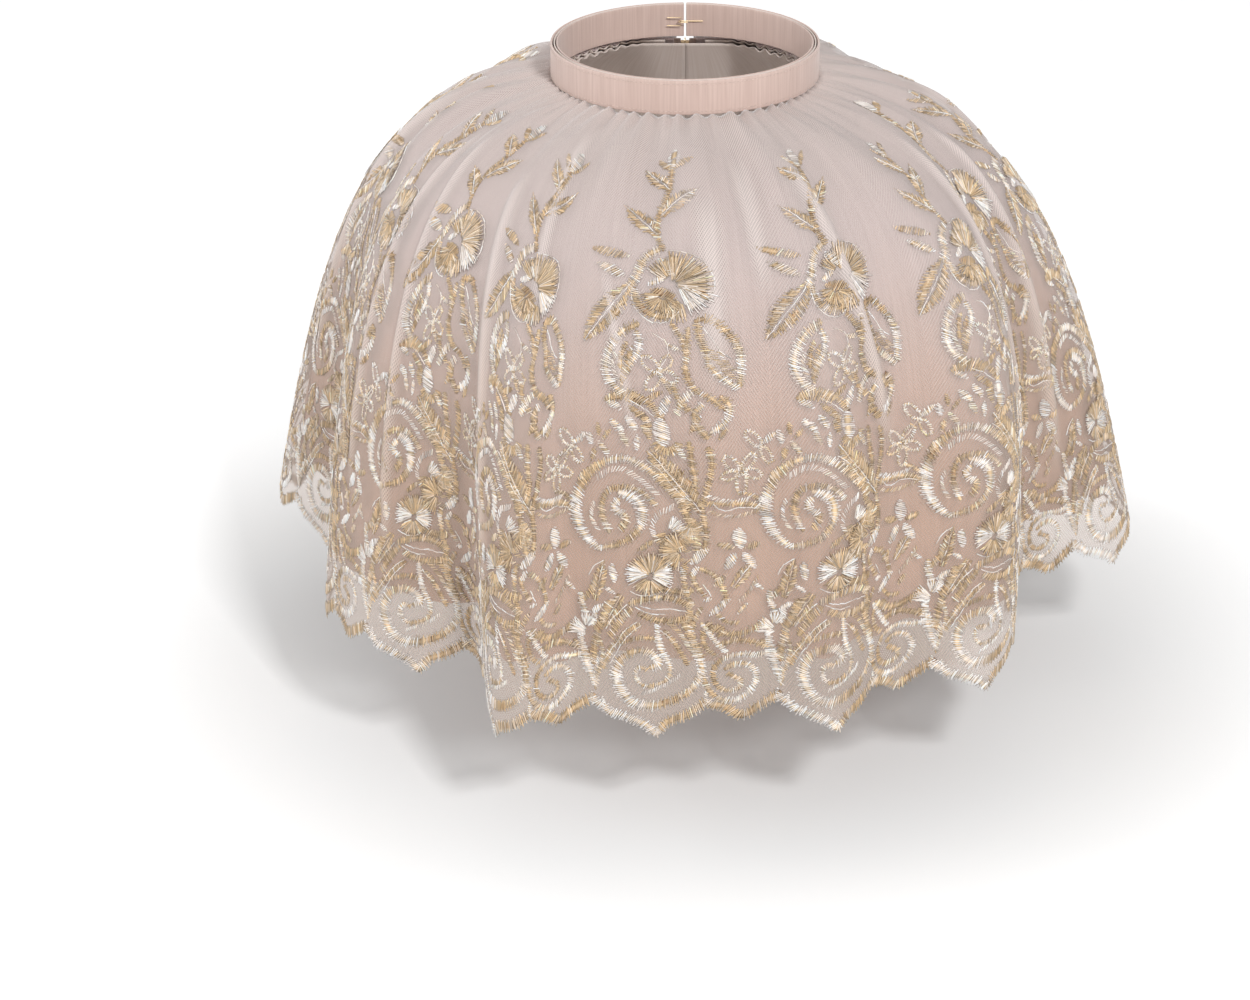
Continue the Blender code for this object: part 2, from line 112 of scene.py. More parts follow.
# Broad pleats below the waistband as waves round the skirt, each with its share of the depth and
# its start, and the fine gathers at the seam that open into them
PLEAT_DEPTH = 0.0036
PLEAT_WAVES = ((21.0, 1.0, 0.0), (13.0, 0.5, 0.7))
PLEAT_WANDER = (1.5, 4.0)
PLEAT_SHARE = 0.16
PLEAT_CLEAR = (9.0, 18.0)
GATHER_DEPTH = 0.0014
GATHER_WAVES = ((67.0, 1.0, 0.0), (41.0, 0.4, 2.0))
GATHER_FADE = 0.10


def smooth(value):
    """A soft step from nought to one."""
    value = np.clip(value, 0.0, 1.0)
    return value * value * (3.0 - 2.0 * value)


def fold_at(angle):
    """Reach at the hem, reach at mid-height and lean of the cloth at angles round the skirt."""
    step = np.clip(np.searchsorted(FOLDS[:, 0], angle, side="right") - 1, 0, len(FOLDS) - 2)
    part = (angle - FOLDS[step, 0]) / (FOLDS[step + 1, 0] - FOLDS[step, 0])
    part = 0.5 - 0.5 * np.cos(np.pi * part)
    return [FOLDS[step, k] + (FOLDS[step + 1, k] - FOLDS[step, k]) * part for k in (1, 2, 3)]


def bell(share, inset):
    """Radius and height of the bell at shares of its length, moved inwards by an inset."""
    radii = (WAIST_RADIUS, WAIST_RADIUS + WAIST_SPREAD, HEM_RADIUS - HEM_FLARE, HEM_RADIUS)
    heights = (
        -BAND_HEIGHT - BAND_GAP,
        -BAND_HEIGHT - WAIST_FALL,
        -SKIRT_DROP + SHOULDER_RISE,
        -SKIRT_DROP,
    )
    rest = 1.0 - share
    weights = (rest**3, 3.0 * rest * rest * share, 3.0 * rest * share * share, share**3)
    slopes = (rest * rest, 2.0 * rest * share, share * share)
    radius = sum(weight * value for weight, value in zip(weights, radii))
    height = sum(weight * value for weight, value in zip(weights, heights))
    out = sum(slope * (b - a) for slope, a, b in zip(slopes, radii, radii[1:]))
    down = sum(slope * (b - a) for slope, a, b in zip(slopes, heights, heights[1:]))
    length = np.hypot(out, down)
    return radius + down / length * inset, height - out / length * inset


def clear_of_zip(angle):
    """A share that falls to nought beside the zip."""
    return smooth((BACK - np.abs(angle) - PLEAT_CLEAR[0]) / PLEAT_CLEAR[1])


def waves(angle, kinds):
    """Waves round the skirt that die away beside the zip."""
    turn = np.radians(angle)
    wander = PLEAT_WANDER[0] * np.sin(PLEAT_WANDER[1] * turn)
    height = sum(size * np.sin(count * turn + start + wander) for count, size, start in kinds)
    return height * clear_of_zip(angle)


def pleats(angle, share):
    """How far the broad pleats stand out."""
    fade = share / PLEAT_SHARE * np.exp(1.0 - share / PLEAT_SHARE)
    return PLEAT_DEPTH * waves(angle, PLEAT_WAVES) * fade * fade


def gathers(angle, share):
    """How far the fine gathers below the seam stand out."""
    return GATHER_DEPTH * waves(angle, GATHER_WAVES) * np.exp(-share / GATHER_FADE)


def drape(angle, share, layer, lift=0.0):
    """Points on a layer of the skirt, with its pleats and folds."""
    steps, hem_share, fold_share = layer
    waist_inset = steps * LAYER_STEP
    inset = waist_inset + (hem_share * HEM_RADIUS - waist_inset) * share
    inset = inset - fold_share * pleats(angle, share) - lift
    hem_reach, mid_reach, lean = fold_at(angle)
    reach = share * (2.0 * share - 1.0) * hem_reach + 4.0 * share * (1.0 - share) * mid_reach
    radius, height = bell(share, inset)
    radius = radius + fold_share * reach * HEM_RADIUS
    turn = np.radians(angle + (1.0 - share) * lean)
    return np.stack(np.broadcast_arrays(radius * np.sin(turn), -radius * np.cos(turn), height), -1)


def hang(angle, share, layer, lift=0.0):
    """Points on a layer of the skirt, drawn flat beside the zip."""
    points = drape(angle, share, layer, lift)
    top = drape(np.array(BACK), np.array(0.0), layer)
    end = drape(np.array(BACK), np.array(ZIP_SHARE), layer)
    share = np.broadcast_to(share, points.shape[:-1])
    line = top + (end - top) * (share / ZIP_SHARE)[..., None]
    near = 1.0 - smooth((np.abs(points[..., 0]) - ZIP_FLAT) / ZIP_BLEND)
    near = near * (1.0 - smooth((share / ZIP_SHARE - 1.0) / ZIP_FADE)) * (points[..., 1] > 0.0)
    points[..., 1:] += (line[..., 1:] - points[..., 1:]) * near[..., None]
    return points


def run_along(points, axis):
    """Distance along rows or columns of points, from their start."""
    steps = np.linalg.norm(np.diff(points, axis=axis), axis=-1)
    start = np.zeros_like(np.take(steps, [0], axis=axis))
    return np.cumsum(np.concatenate([start, steps], axis=axis), axis=axis)


OVERLAY = (0.0, 0.0, 1.0)
hem_angles = np.linspace(-BACK, BACK, HEM_STEPS + 1)
hem_run = run_along(drape(hem_angles, np.array(1.0), OVERLAY), 0)


def turned_angles(parts, share, layer, slit):
    """Angles of columns of cloth at parts of the way round, spread to leave the back opening."""
    angles = np.interp(parts * hem_run[-1], hem_run, hem_angles)[:, None]
    radius = np.linalg.norm(drape(angles, share, layer)[..., :2], axis=-1)
    slit, end = slit
    half = slit + (min(slit, SEAM_GAP) - slit) * smooth((share / ZIP_SHARE - end) / SLIT_FADE)
    opened = np.degrees(half / radius)
    left = np.clip(1.0 - parts / LEFT_SEAM, 0.0, 1.0)[:, None]
    right = np.clip((parts - RIGHT_SEAM) / (1.0 - RIGHT_SEAM), 0.0, 1.0)[:, None]
    return angles + opened * (left - right)


def link(name, mesh, look):
    """A new object holding a finished mesh, alone in the selection."""
    bpy.ops.object.select_all(action="DESELECT")
    thing = bpy.data.objects.new(name, mesh)
    bpy.context.collection.objects.link(thing)
    thing.data.materials.append(look)
    thing.select_set(True)
    bpy.context.view_layer.objects.active = thing
    return thing


def cloth(name, points, thickness, look, fullness=None):
    """A sheet with a thickness on its inner side, from columns of points down the cloth."""
    columns, rows = points.shape[:2]
    numbers = np.arange(columns * rows).reshape(columns, rows)
    faces = np.stack([numbers[:-1, :-1], numbers[:-1, 1:], numbers[1:, 1:], numbers[1:, :-1]], -1)
    mesh = bpy.data.meshes.new(name)
    mesh.from_pydata(points.reshape(-1, 3), [], faces.reshape(-1, 4))
    down = run_along(points, 1)
    around = np.broadcast_to(run_along(points[:, -1:], 0), down.shape)
    places = np.stack([around, down[:, -1:] - down], -1).reshape(-1, 2)[faces.reshape(-1)]
    mesh.uv_layers.new(name="cloth").uv.foreach_set("vector", places.astype(np.float32).ravel())
    if fullness is not None:
        layers = mesh.attributes.new("fullness", "FLOAT", "POINT")
        layers.data.foreach_set("value", fullness.astype(np.float32).ravel())
    mesh.shade_smooth()
    thing = link(name, mesh, look)
    solid = thing.modifiers.new("thickness", "SOLIDIFY")
    solid.thickness = thickness
    solid.offset = -1.0
    bpy.ops.object.modifier_apply(modifier=solid.name)
    return thing


def draw_in(points, edge):
    """Pull the first or last column of a width of cloth in by the gap of its seam."""
    inward = points[1 if edge == 0 else -2] - points[edge]
    points[edge] += inward * SEAM_GAP / np.linalg.norm(inward, axis=-1, keepdims=True)


def width_of_cloth(name, ends, run, layer, slit, look, columns, waver=0.0):
    """One width of cloth between two parts of the way round, in rows from its top to its hem."""
    top, hem, rows = run
    parts = np.linspace(ends[0], ends[1], columns + 1)
    around = HEM_WAVES[0] * parts + HEM_WAVES[1] * np.sin(HEM_WAVES[2] * parts)
    hem = hem + waver * np.sin(around)
    share = top + (hem[:, None] - top) * np.linspace(0.0, 1.0, rows)
    angles = turned_angles(parts, share, layer, slit)
    points = hang(angles, share, layer, gathers(angles, share))
    for edge in (0, -1):
        if 0.0 < ends[edge] < 1.0:
            draw_in(points, edge)
    return cloth(name, points, CLOTH_THICKNESS, look)


def new_look(name, roughness, specular):
    """A finish to build on, with its shader."""
    made = bpy.data.materials.new(name)
    made.use_nodes = True
    shader = made.node_tree.nodes["Principled BSDF"]
    shader.inputs["Roughness"].default_value = roughness
    shader.inputs["Specular IOR Level"].default_value = specular
    return made, shader


def add_node(look, kind, inputs, **settings):
    """A node in a finish, with its inputs set or linked."""
    made = look.node_tree.nodes.new(kind)
    for key, value in settings.items():
        setattr(made, key, value)
    for key, value in inputs.items():
        if isinstance(value, bpy.types.NodeSocket):
            look.node_tree.links.new(value, made.inputs[key])
        else:
            made.inputs[key].default_value = value
    return made


def tint(look, socket, dark, light, low=0.3, high=0.7):
    """A colour between two, by a value."""
    ramp = add_node(look, "ShaderNodeValToRGB", {"Fac": socket})
    ramp.color_ramp.elements[0].position = low
    ramp.color_ramp.elements[0].color = (*dark, 1.0)
    ramp.color_ramp.elements[1].position = high
    ramp.color_ramp.elements[1].color = (*light, 1.0)
    return ramp.outputs["Color"]


def weave(look, shader, thread, depth):
    """Warp and weft threads at a spacing, as bump, from the cloth's own lengths."""
    place = add_node(look, "ShaderNodeUVMap", {}, uv_map="cloth").outputs["UV"]
    across = {"Vector": place, "Scale": BAND_TURN / thread}
    warp = add_node(look, "ShaderNodeTexWave", across, bands_direction="X")
    weft = add_node(look, "ShaderNodeTexWave", across, bands_direction="Y")
    both = {0: warp.outputs["Fac"], 1: weft.outputs["Fac"]}
    height = add_node(look, "ShaderNodeMath", both, operation="MULTIPLY")
    raised = {"Height": height.outputs[0], "Distance": depth, "Strength": WEAVE_BUMP}
    bump = add_node(look, "ShaderNodeBump", raised)
    look.node_tree.links.new(bump.outputs["Normal"], shader.inputs["Normal"])
    return place


def uneven(look, place, across, along):
    """A value that wanders from thread to thread, stretched along the cloth."""
    scale = {"Vector": place, "Scale": (1.0 / across, 1.0 / along, 1.0)}
    stretched = add_node(look, "ShaderNodeMapping", scale)
    noise = {"Vector": stretched.outputs["Vector"], "Scale": 1.0, "Detail": 3.0}
    return add_node(look, "ShaderNodeTexNoise", noise).outputs["Fac"]


def painted_hem_shade(look, place, colour, hem_shade):
    """A colour that is darker and warmer towards the hem: painted shade on the lower part of the
    cloth.
    """
    height = add_node(look, "ShaderNodeSeparateXYZ", {"Vector": place}).outputs["Y"]
    shade_factor = tint(look, height, hem_shade, (1.0, 1.0, 1.0), *HEM_SHADE_HEIGHTS)
    both = add_node(look, "ShaderNodeVectorMath", {0: colour, 1: shade_factor}, operation="MULTIPLY")
    return both.outputs["Vector"]


def woven_look(name, dark, light, thread, roughness, sheen, hem_shade=None):
    """A plain woven cloth with threads of slightly different tone, and painted shade darkening it
    towards its hem.
    """
    made, shader = new_look(name, roughness, CLOTH_GLOSS)
    place = weave(made, shader, thread, WEAVE_DEPTH * thread)
    slubs = uneven(made, place, SLUB_THREADS[0] * thread, SLUB_THREADS[1] * thread)
    colour = tint(made, slubs, dark, light)
    if hem_shade:
        colour = painted_hem_shade(made, place, colour, hem_shade)
    made.node_tree.links.new(colour, shader.inputs["Base Color"])
    shader.inputs["Sheen Weight"].default_value = sheen
    shader.inputs["Sheen Roughness"].default_value = CLOTH_SHEEN
    return made


cotton_look = woven_look(
    "cotton_slip", COTTON_DARK, COTTON_LIGHT, thread=0.0005, roughness=0.85, sheen=0.1
)
slip = width_of_cloth(
    "slip_cotton",
    (0.0, 1.0),
    (0.0, SLIP_END, SLIP_ROWS),
    SLIP,
    SLIP_SLIT,
    cotton_look,
    SLIP_COLUMNS,
)
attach(slip, "skirt")
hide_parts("slip")

# The petticoat holds the bell out: a cotton yoke sewn into the waist, and a flounce of stiff net
# gathered on to the yoke's lower edge, so that its small upright flutes stand all round.
PETTICOAT = (2.0, 0.145, 0.55)
PETTICOAT_SLIT = (0.0145, 0.99)
YOKE_END = 0.50
YOKE_ROWS = 50
YOKE_COLUMNS = 480
FLOUNCE_TOP = 0.504
FLOUNCE_END = 0.90
FLOUNCE_ROWS = 40
FLOUNCE_COLUMNS = 900
FLUTE_DEPTH = 0.003
FLUTES = 58.0
FLUTE_WANDER = (1.4, 6.0)
FLOUNCE_DARK = (0.66, 0.55, 0.50)
FLOUNCE_LIGHT = (0.76, 0.66, 0.61)

yoke = width_of_cloth(
    "petticoat_yoke_cotton",
    (0.0, 1.0),
    (0.0, YOKE_END, YOKE_ROWS),
    PETTICOAT,
    PETTICOAT_SLIT,
    cotton_look,
    YOKE_COLUMNS,
)
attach(yoke, "skirt")
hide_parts("petticoat_yoke")

flounce_look = woven_look(
    "petticoat_net", FLOUNCE_DARK, FLOUNCE_LIGHT, thread=0.0011, roughness=0.85, sheen=0.2
)
flounce_share = np.linspace(FLOUNCE_TOP, FLOUNCE_END, FLOUNCE_ROWS)[None, :]
flounce_parts = np.linspace(0.0, 1.0, FLOUNCE_COLUMNS + 1)
flounce_angles = turned_angles(flounce_parts, flounce_share, PETTICOAT, PETTICOAT_SLIT)
flute_turn = np.radians(flounce_angles)
flute_turn = FLUTES * flute_turn + FLUTE_WANDER[0] * np.sin(FLUTE_WANDER[1] * flute_turn)
flutes = (np.sin(flute_turn) - 1.0) * FLUTE_DEPTH * clear_of_zip(flounce_angles)
flounce = cloth(
    "petticoat_flounce_net",
    hang(flounce_angles, flounce_share, PETTICOAT, flutes),
    CLOTH_THICKNESS,
    flounce_look,
)
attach(flounce, "skirt")
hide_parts("petticoat_flounce")

# The lining is a blush satin, cut in a front and two back widths, close under the outer net.
# It is gathered into the waist with the net and ends in a narrow hem above the net's lace edge.
LINING = (1.0, 0.028, 0.95)
LINING_END = 0.940
LINING_ROWS = 70
LINING_COLUMNS = 32
LINING_SLIT = (0.008, 0.92)
LINING_WAVER = 0.006
SATIN_DARK = (0.575, 0.455, 0.44)
SATIN_LIGHT = (0.76, 0.63, 0.625)
# Painted shade: the satin is tinted darker and warmer towards its hem
SATIN_HEM_SHADE = (0.94, 0.68, 0.48)

satin_look = woven_look(
    "satin_lining",
    SATIN_DARK,
    SATIN_LIGHT,
    thread=0.0004,
    roughness=0.5,
    sheen=0.25,
    hem_shade=SATIN_HEM_SHADE,
)
seam_ends = {
    "back_left": (0.0, LEFT_SEAM),
    "front": (LEFT_SEAM, RIGHT_SEAM),
    "back_right": (RIGHT_SEAM, 1.0),
}
for width, ends in seam_ends.items():
    repeats = round((ends[1] - ends[0]) * REPEATS)
    lining = width_of_cloth(
        "lining_satin_" + width,
        ends,
        (0.0, LINING_END, LINING_ROWS),
        LINING,
        LINING_SLIT,
        satin_look,
        LINING_COLUMNS * repeats,
        LINING_WAVER,
    )
    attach(lining, "skirt")
    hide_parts("lining_" + width)

# The outer layer is a fine nylon net, cut in a front and two back widths to a whole number of lace
# repeats, gathered into the waistband and cut to scallops at the hem, where the lace binds its edge.
LACE_SQUARE = 0.00068
NET_THICKNESS = 0.0003
NET_SLIT = (0.006, 0.99)
NET_COLUMNS = 48
NET_ROWS = 96
NET_STEPS = 300
NET_COLOUR = (0.78, 0.685, 0.65)
# Painted shade: the net is tinted darker and warmer towards its hem
NET_HEM_SHADE = (0.925, 0.855, 0.77)
NET_SHADE = 0.92
NET_SLUB = (0.004, 0.08)
NET_HOLE = 0.0016
NET_SLOPE = 30.0
NET_STRAND = 0.6
NET_VEIL = 0.17
NET_THREAD = 0.42
CREASE_LAYERS = 3.0

# The scalloped edge over one repeat, in squares of the lace drawing across and up from the hem
SCALLOPS = np.array((
    (0, 18), (5, 13), (11, 10), (17, 4), (27, 1), (37, -3), (45, -7), (53, -11), (59, -17),
    (63, -20), (68, -15), (73, -8), (81, -5), (91, -1), (99, 4), (106, 9), (112, 14), (119, 10),
    (127, 9), (135, 5), (143, -1), (150, -2), (159, 3), (167, 8), (175, 13), (183, 18),
))
SQUARES = SCALLOPS[-1, 0]
NOTCH = 16

# Soft creases in the net: angle at the hem, lean upwards, half width, height, and the shares of
# the length between which each one runs
CREASES = (
    (-18.5, -3.5, 0.0028, 0.0018, 0.05, 0.50),
    (-0.3, -15.0, 0.0024, 0.0010, 0.36, 0.68),
    (14.0, -2.0, 0.0035, 0.0012, 0.10, 0.45),
    (33.0, -14.0, 0.0045, 0.0050, 0.12, 0.72),
    (-27.0, -4.0, 0.0040, 0.0040, 0.20, 0.95),
    (-47.0, -3.0, 0.0035, 0.0035, 0.15, 0.90),
    (-57.0, -2.0, 0.0040, 0.0035, 0.15, 0.85),
    (5.0, 1.0, 0.0050, 0.0012, 0.20, 0.60),
    (54.0, 2.0, 0.0040, 0.0040, 0.15, 0.85),
    (78.0, -3.0, 0.0045, 0.0040, 0.20, 0.90),
    (101.0, 2.0, 0.0040, 0.0035, 0.15, 0.80),
    (127.0, -3.0, 0.0045, 0.0040, 0.20, 0.90),
    (151.0, 3.0, 0.0040, 0.0035, 0.15, 0.75),
    (-96.0, 2.0, 0.0040, 0.0035, 0.15, 0.80),
    (-121.0, -3.0, 0.0045, 0.0040, 0.20, 0.90),
    (-147.0, 3.0, 0.0040, 0.0035, 0.15, 0.75),
)
CREASE_ENDS = 0.12


def creases(angle, share):
    """How far the net's soft creases stand out, and how much of the net is folded up in them."""
    lift = np.zeros(np.broadcast_shapes(angle.shape, share.shape))
    folded = np.zeros_like(lift)
    radius = bell(share, 0.0)[0]
    for place, lean, half, height, top, end in CREASES:
        aside = np.radians(angle - place - lean * (1.0 - share)) * radius / half
        fade = smooth((share - top) / CREASE_ENDS) * smooth((end - share) / CREASE_ENDS)
        ridge = np.exp(-aside * aside) * fade
        lift += height * ridge
        folded += ridge
    return lift, folded


net_parts = np.linspace(0.0, 1.0, REPEATS * NET_COLUMNS + 1)
net_share = np.linspace(0.0, 1.0, NET_STEPS + 1)[None, :]
net_angles = turned_angles(net_parts, net_share, OVERLAY, NET_SLIT)
net_lift, net_folded = creases(net_angles, net_share)
net_points = hang(net_angles, net_share, OVERLAY, gathers(net_angles, net_share) + net_lift)
net_height = run_along(net_points[:, ::-1], 1)[:, ::-1]
net_full = HEM_RADIUS / bell(net_share, 0.0)[0] + CREASE_LAYERS * net_folded
edge_place = np.arange(REPEATS * NET_COLUMNS + 1) % NET_COLUMNS * SQUARES / NET_COLUMNS
net_edge = np.interp(edge_place, SCALLOPS[:, 0], SCALLOPS[:, 1]) * LACE_SQUARE
net_top = net_height[:, 0]
down = np.linspace(0.0, 1.0, NET_ROWS + 1)
row_height = net_top[:, None] + (net_edge - net_top)[:, None] * down
net_grid = np.empty((*row_height.shape, 3))
net_layers = np.empty(row_height.shape)
for column, heights in enumerate(row_height):
    above = np.maximum(heights, 0.0)
    known = net_height[column, ::-1]
    for axis in range(3):
        net_grid[column, :, axis] = np.interp(above, known, net_points[column, ::-1, axis])
    net_layers[column] = np.interp(above, known, net_full[column, ::-1])
    net_grid[column, :, 2] += np.minimum(heights, 0.0)

tulle_look, tulle_shader = new_look("embroidered_net", roughness=0.7, specular=0.2)
tulle_place = add_node(tulle_look, "ShaderNodeUVMap", {}, uv_map="cloth").outputs["UV"]
strands = []
for slope in (NET_SLOPE, -NET_SLOPE):
    turning = {"Vector": tulle_place, "Rotation": (0.0, 0.0, math.radians(slope))}
    turned = add_node(tulle_look, "ShaderNodeMapping", turning)
    bands = {"Vector": turned.outputs["Vector"], "Scale": BAND_TURN / NET_HOLE}
    strands.append(add_node(tulle_look, "ShaderNodeTexWave", bands).outputs["Fac"])
crossed = {0: strands[0], 1: strands[1]}
mesh_node = add_node(tulle_look, "ShaderNodeMath", crossed, operation="MAXIMUM")
thread_range = {"Value": mesh_node.outputs[0], "From Min": NET_STRAND, "From Max": 1.0}
thread_range.update({"To Min": 1.0 - NET_VEIL, "To Max": 1.0 - NET_THREAD})
clear_node = add_node(tulle_look, "ShaderNodeMapRange", thread_range)
layers_node = add_node(tulle_look, "ShaderNodeAttribute", {}, attribute_name="fullness")
through = {0: clear_node.outputs["Result"], 1: layers_node.outputs["Fac"]}
through_node = add_node(tulle_look, "ShaderNodeMath", through, operation="POWER")
closed = {0: 1.0, 1: through_node.outputs[0]}
solid_node = add_node(tulle_look, "ShaderNodeMath", closed, operation="SUBTRACT")
tulle_look.node_tree.links.new(solid_node.outputs[0], tulle_shader.inputs["Alpha"])
tulle_shade = uneven(tulle_look, tulle_place, *NET_SLUB)
tulle_dark = tuple(NET_SHADE * part for part in NET_COLOUR)
tulle_tint = tint(tulle_look, tulle_shade, tulle_dark, NET_COLOUR)
tulle_tint = painted_hem_shade(tulle_look, tulle_place, tulle_tint, NET_HEM_SHADE)
tulle_look.node_tree.links.new(tulle_tint, tulle_shader.inputs["Base Color"])
tulle_shader.inputs["Sheen Weight"].default_value = 0.6
tulle_shader.inputs["Sheen Roughness"].default_value = 0.4

net_widths = {}
for width, ends in seam_ends.items():
    first = round(ends[0] * REPEATS) * NET_COLUMNS
    last = round(ends[1] * REPEATS) * NET_COLUMNS
    points = net_grid[first:last + 1].copy()
    for edge in (0, -1):
        draw_in(points, edge)
    net = cloth("net_" + width, points, NET_THICKNESS, tulle_look, net_layers[first:last + 1])
    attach(net, "skirt")
    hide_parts("overlay_" + width)
    net_widths[width] = net

# The lace is machine embroidery on the net in gold and ivory rayon: satin-stitched scrolls and
# scallops, veined leaves, fans and small flowers, drawn once on squared paper for one repeat.
# Each stitch is a short raised sliver of thread whose two ends go down into the net.
SATIN_PITCH = 2.05
SATIN_WIDTH = 1.35
SATIN_SLANT = 0.30
SATIN_HEIGHT = 0.85
SATIN_REACH = 0.57
RAGGED = 0.36
FINE_WIDTH = 1.15
FINE_HEIGHT = 0.8
COMB_PITCH = 2.4
COMB_LEAN = 0.8
LINE_STITCH = 6.0
LOOP_WIDTH = 3.4
PETAL_ROUND = 0.6
PETAL_SLANT = 0.4
PETAL_PADDING = (0.12, 0.88, 0.55)
LONG_PETAL = 16.0
FAN_PITCH = 1.3
FAN_STARTS = (0.0, 0.42, 0.25, 0.5)
FAN_ENDS = (0.66, 1.04, 0.85, 0.97)
FAN_PADDING = (0.9, 2.6, 0.3, 0.8)
LEAF_PITCH = 1.92
LEAF_ROUND = (0.75, 0.8)
LEAF_SLANT = 0.6
LEAF_PADDING = (0.55, 0.3)
# The padding under the stitches is real, but its dark colour is painted shade in the gaps between
# the threads
UNDER_HEIGHT = 0.12
UNDER_WIDTH = 0.6
UNDER_TONE = 0.9
UNDER_PAINTED_SHADE = 0.7
UNDER_REACH = 5.0
CURVE_STEPS = 10
EVERY_THIRD = slice(1, None, 3)


def rows_of(start, end, width, height, tone, lift=0.0):
    """Stitches as rows: start, end, width, height, tone and lift at the end."""
    values = (width, height, tone, lift)
    extra = [np.broadcast_to(np.asarray(value, float), len(start)) for value in values]
    return np.column_stack([start, end, *extra])


def spread(value, part):
    """A value along a line, from one number or from several at even steps."""
    steps = np.atleast_1d(np.asarray(value, float))
    return np.interp(part, np.linspace(0.0, 1.0, len(steps)), steps)


def under(start, end, width, tone, lift=0.0):
    """Flat padding under the stitches, darkened towards the shadow colour: painted shade in the gaps
    between the threads.
    """
    tone = UNDER_TONE * np.asarray(tone) - UNDER_PAINTED_SHADE
    return rows_of(start, end, width, UNDER_HEIGHT, tone, lift)


def follow(points, pitch):
    """Places at an even pitch along a smooth line through drawn points, with its directions."""
    points = np.array(points, float)
    ends = np.vstack([2.0 * points[0] - points[1], points, 2.0 * points[-1] - points[-2]])
    fine = []
    part = np.linspace(0.0, 1.0, CURVE_STEPS, endpoint=False)[:, None]
    for a, b, c, d in zip(ends, ends[1:], ends[2:], ends[3:]):
        curve = (2.0 * a - 5.0 * b + 4.0 * c - d) * part**2 + (3.0 * b - a - 3.0 * c + d) * part**3
        fine.append(b + 0.5 * ((c - a) * part + curve))
    fine = np.vstack([*fine, points[-1:]])
    run = run_along(fine, 0)
    even = np.linspace(0.0, run[-1], max(3, round(run[-1] / pitch) + 1))
    place = np.column_stack([np.interp(even, run, fine[:, axis]) for axis in (0, 1)])
    along = np.gradient(place, axis=0)
    return place, along / np.linalg.norm(along, axis=1, keepdims=True), even / run[-1]


def beside(along):
    """Directions turned a quarter to the left."""
    return np.column_stack([-along[:, 1], along[:, 0]])


def ragged(count):
    """Shares that make every other stitch longer."""
    return 1.0 + RAGGED * (np.arange(count) % 2 - 0.5)


def satin(points, width, tone):
    """A band of close stitches laid across a line."""
    place, along, part = follow(points, SATIN_PITCH)
    width = spread(width, part)
    tone = spread(tone, part)
    half = (SATIN_REACH * width * ragged(len(place)))[:, None]
    reach = (beside(along) + SATIN_SLANT * along) * half
    over = rows_of(place - reach, place + reach, SATIN_WIDTH, SATIN_HEIGHT, tone)
    place, along, width, tone = (value[EVERY_THIRD] for value in (place, along, width, tone))
    reach = along * UNDER_REACH
    return np.vstack([over, under(place - reach, place + reach, UNDER_WIDTH * width, tone)])


def comb(points, length, tone):
    """Single stitches that stand off a line like the teeth of a comb."""
    place, along, part = follow(points, COMB_PITCH)
    reach = (beside(along) + COMB_LEAN * along) * length / math.hypot(1.0, COMB_LEAN)
    return rows_of(place, place + reach, FINE_WIDTH, FINE_HEIGHT, spread(tone, part))


def line(points, tone):
    """A thin line of long stitches, end to end."""
    place, along, part = follow(points, LINE_STITCH)
    return rows_of(place[:-1] - along[:-1], place[1:] + along[1:], FINE_WIDTH, FINE_HEIGHT, tone)


def petal(base, tip, width, tone):
    """A small petal filled with stitches across it."""
    base = np.array([base], float)
    tip = np.array([tip], float)
    along = tip - base
    length = np.linalg.norm(along)
    count = max(3, round(length / SATIN_PITCH))
    part = ((np.arange(count) + 0.5) / count)[:, None]
    half = 0.5 * width * np.sin(np.pi * part) ** PETAL_ROUND
    reach = (beside(along) + PETAL_SLANT * along) / length * half
    place = base + along * part
    over = rows_of(place - reach, place + reach, SATIN_WIDTH, SATIN_HEIGHT, tone)
    first, last, share = PETAL_PADDING
    cuts = base + along * np.linspace(first, last, 2 if length < LONG_PETAL else 3)[:, None]
    return np.vstack([over, under(cuts[:-1], cuts[1:], share * width, tone)])


def fan(centre, inner, outer, first, last, tone, lift=0.0):
    """Stitches that spread from a centre, between two radii and two angles."""
    count = max(4, round(math.radians(last - first) * outer / FAN_PITCH))
    turn = np.radians(np.linspace(first, last, count))
    rays = np.column_stack([np.cos(turn), np.sin(turn)])
    begin = inner + (outer - inner) * np.resize(FAN_STARTS, count)[:, None]
    end = inner + (outer - inner) * np.resize(FAN_ENDS, count)[:, None]
    rise = lift * end[:, 0] / outer
    over = rows_of(centre + rays * begin, centre + rays * end, FINE_WIDTH, FINE_HEIGHT, tone, rise)
    share, width, paler, lower = FAN_PADDING
    start = centre + rays[EVERY_THIRD] * inner
    reach = share * outer * rays[EVERY_THIRD]
    return np.vstack([over, under(start, centre + reach, width, tone + paler, lower * lift)])


def loop(base, tip, width, tone):
    """A petal drawn in outline, with a thin line of stitches."""
    base = np.array(base, float)
    along = np.array(tip, float) - base
    across = np.array((-along[1], along[0])) / np.linalg.norm(along) * 0.5 * width
    turn = np.linspace(0.0, 2.0 * np.pi, 9)[:, None]
    outline = base + along * (0.5 - 0.5 * np.cos(turn)) + across * np.sin(turn)
    return satin(outline, LOOP_WIDTH, tone)


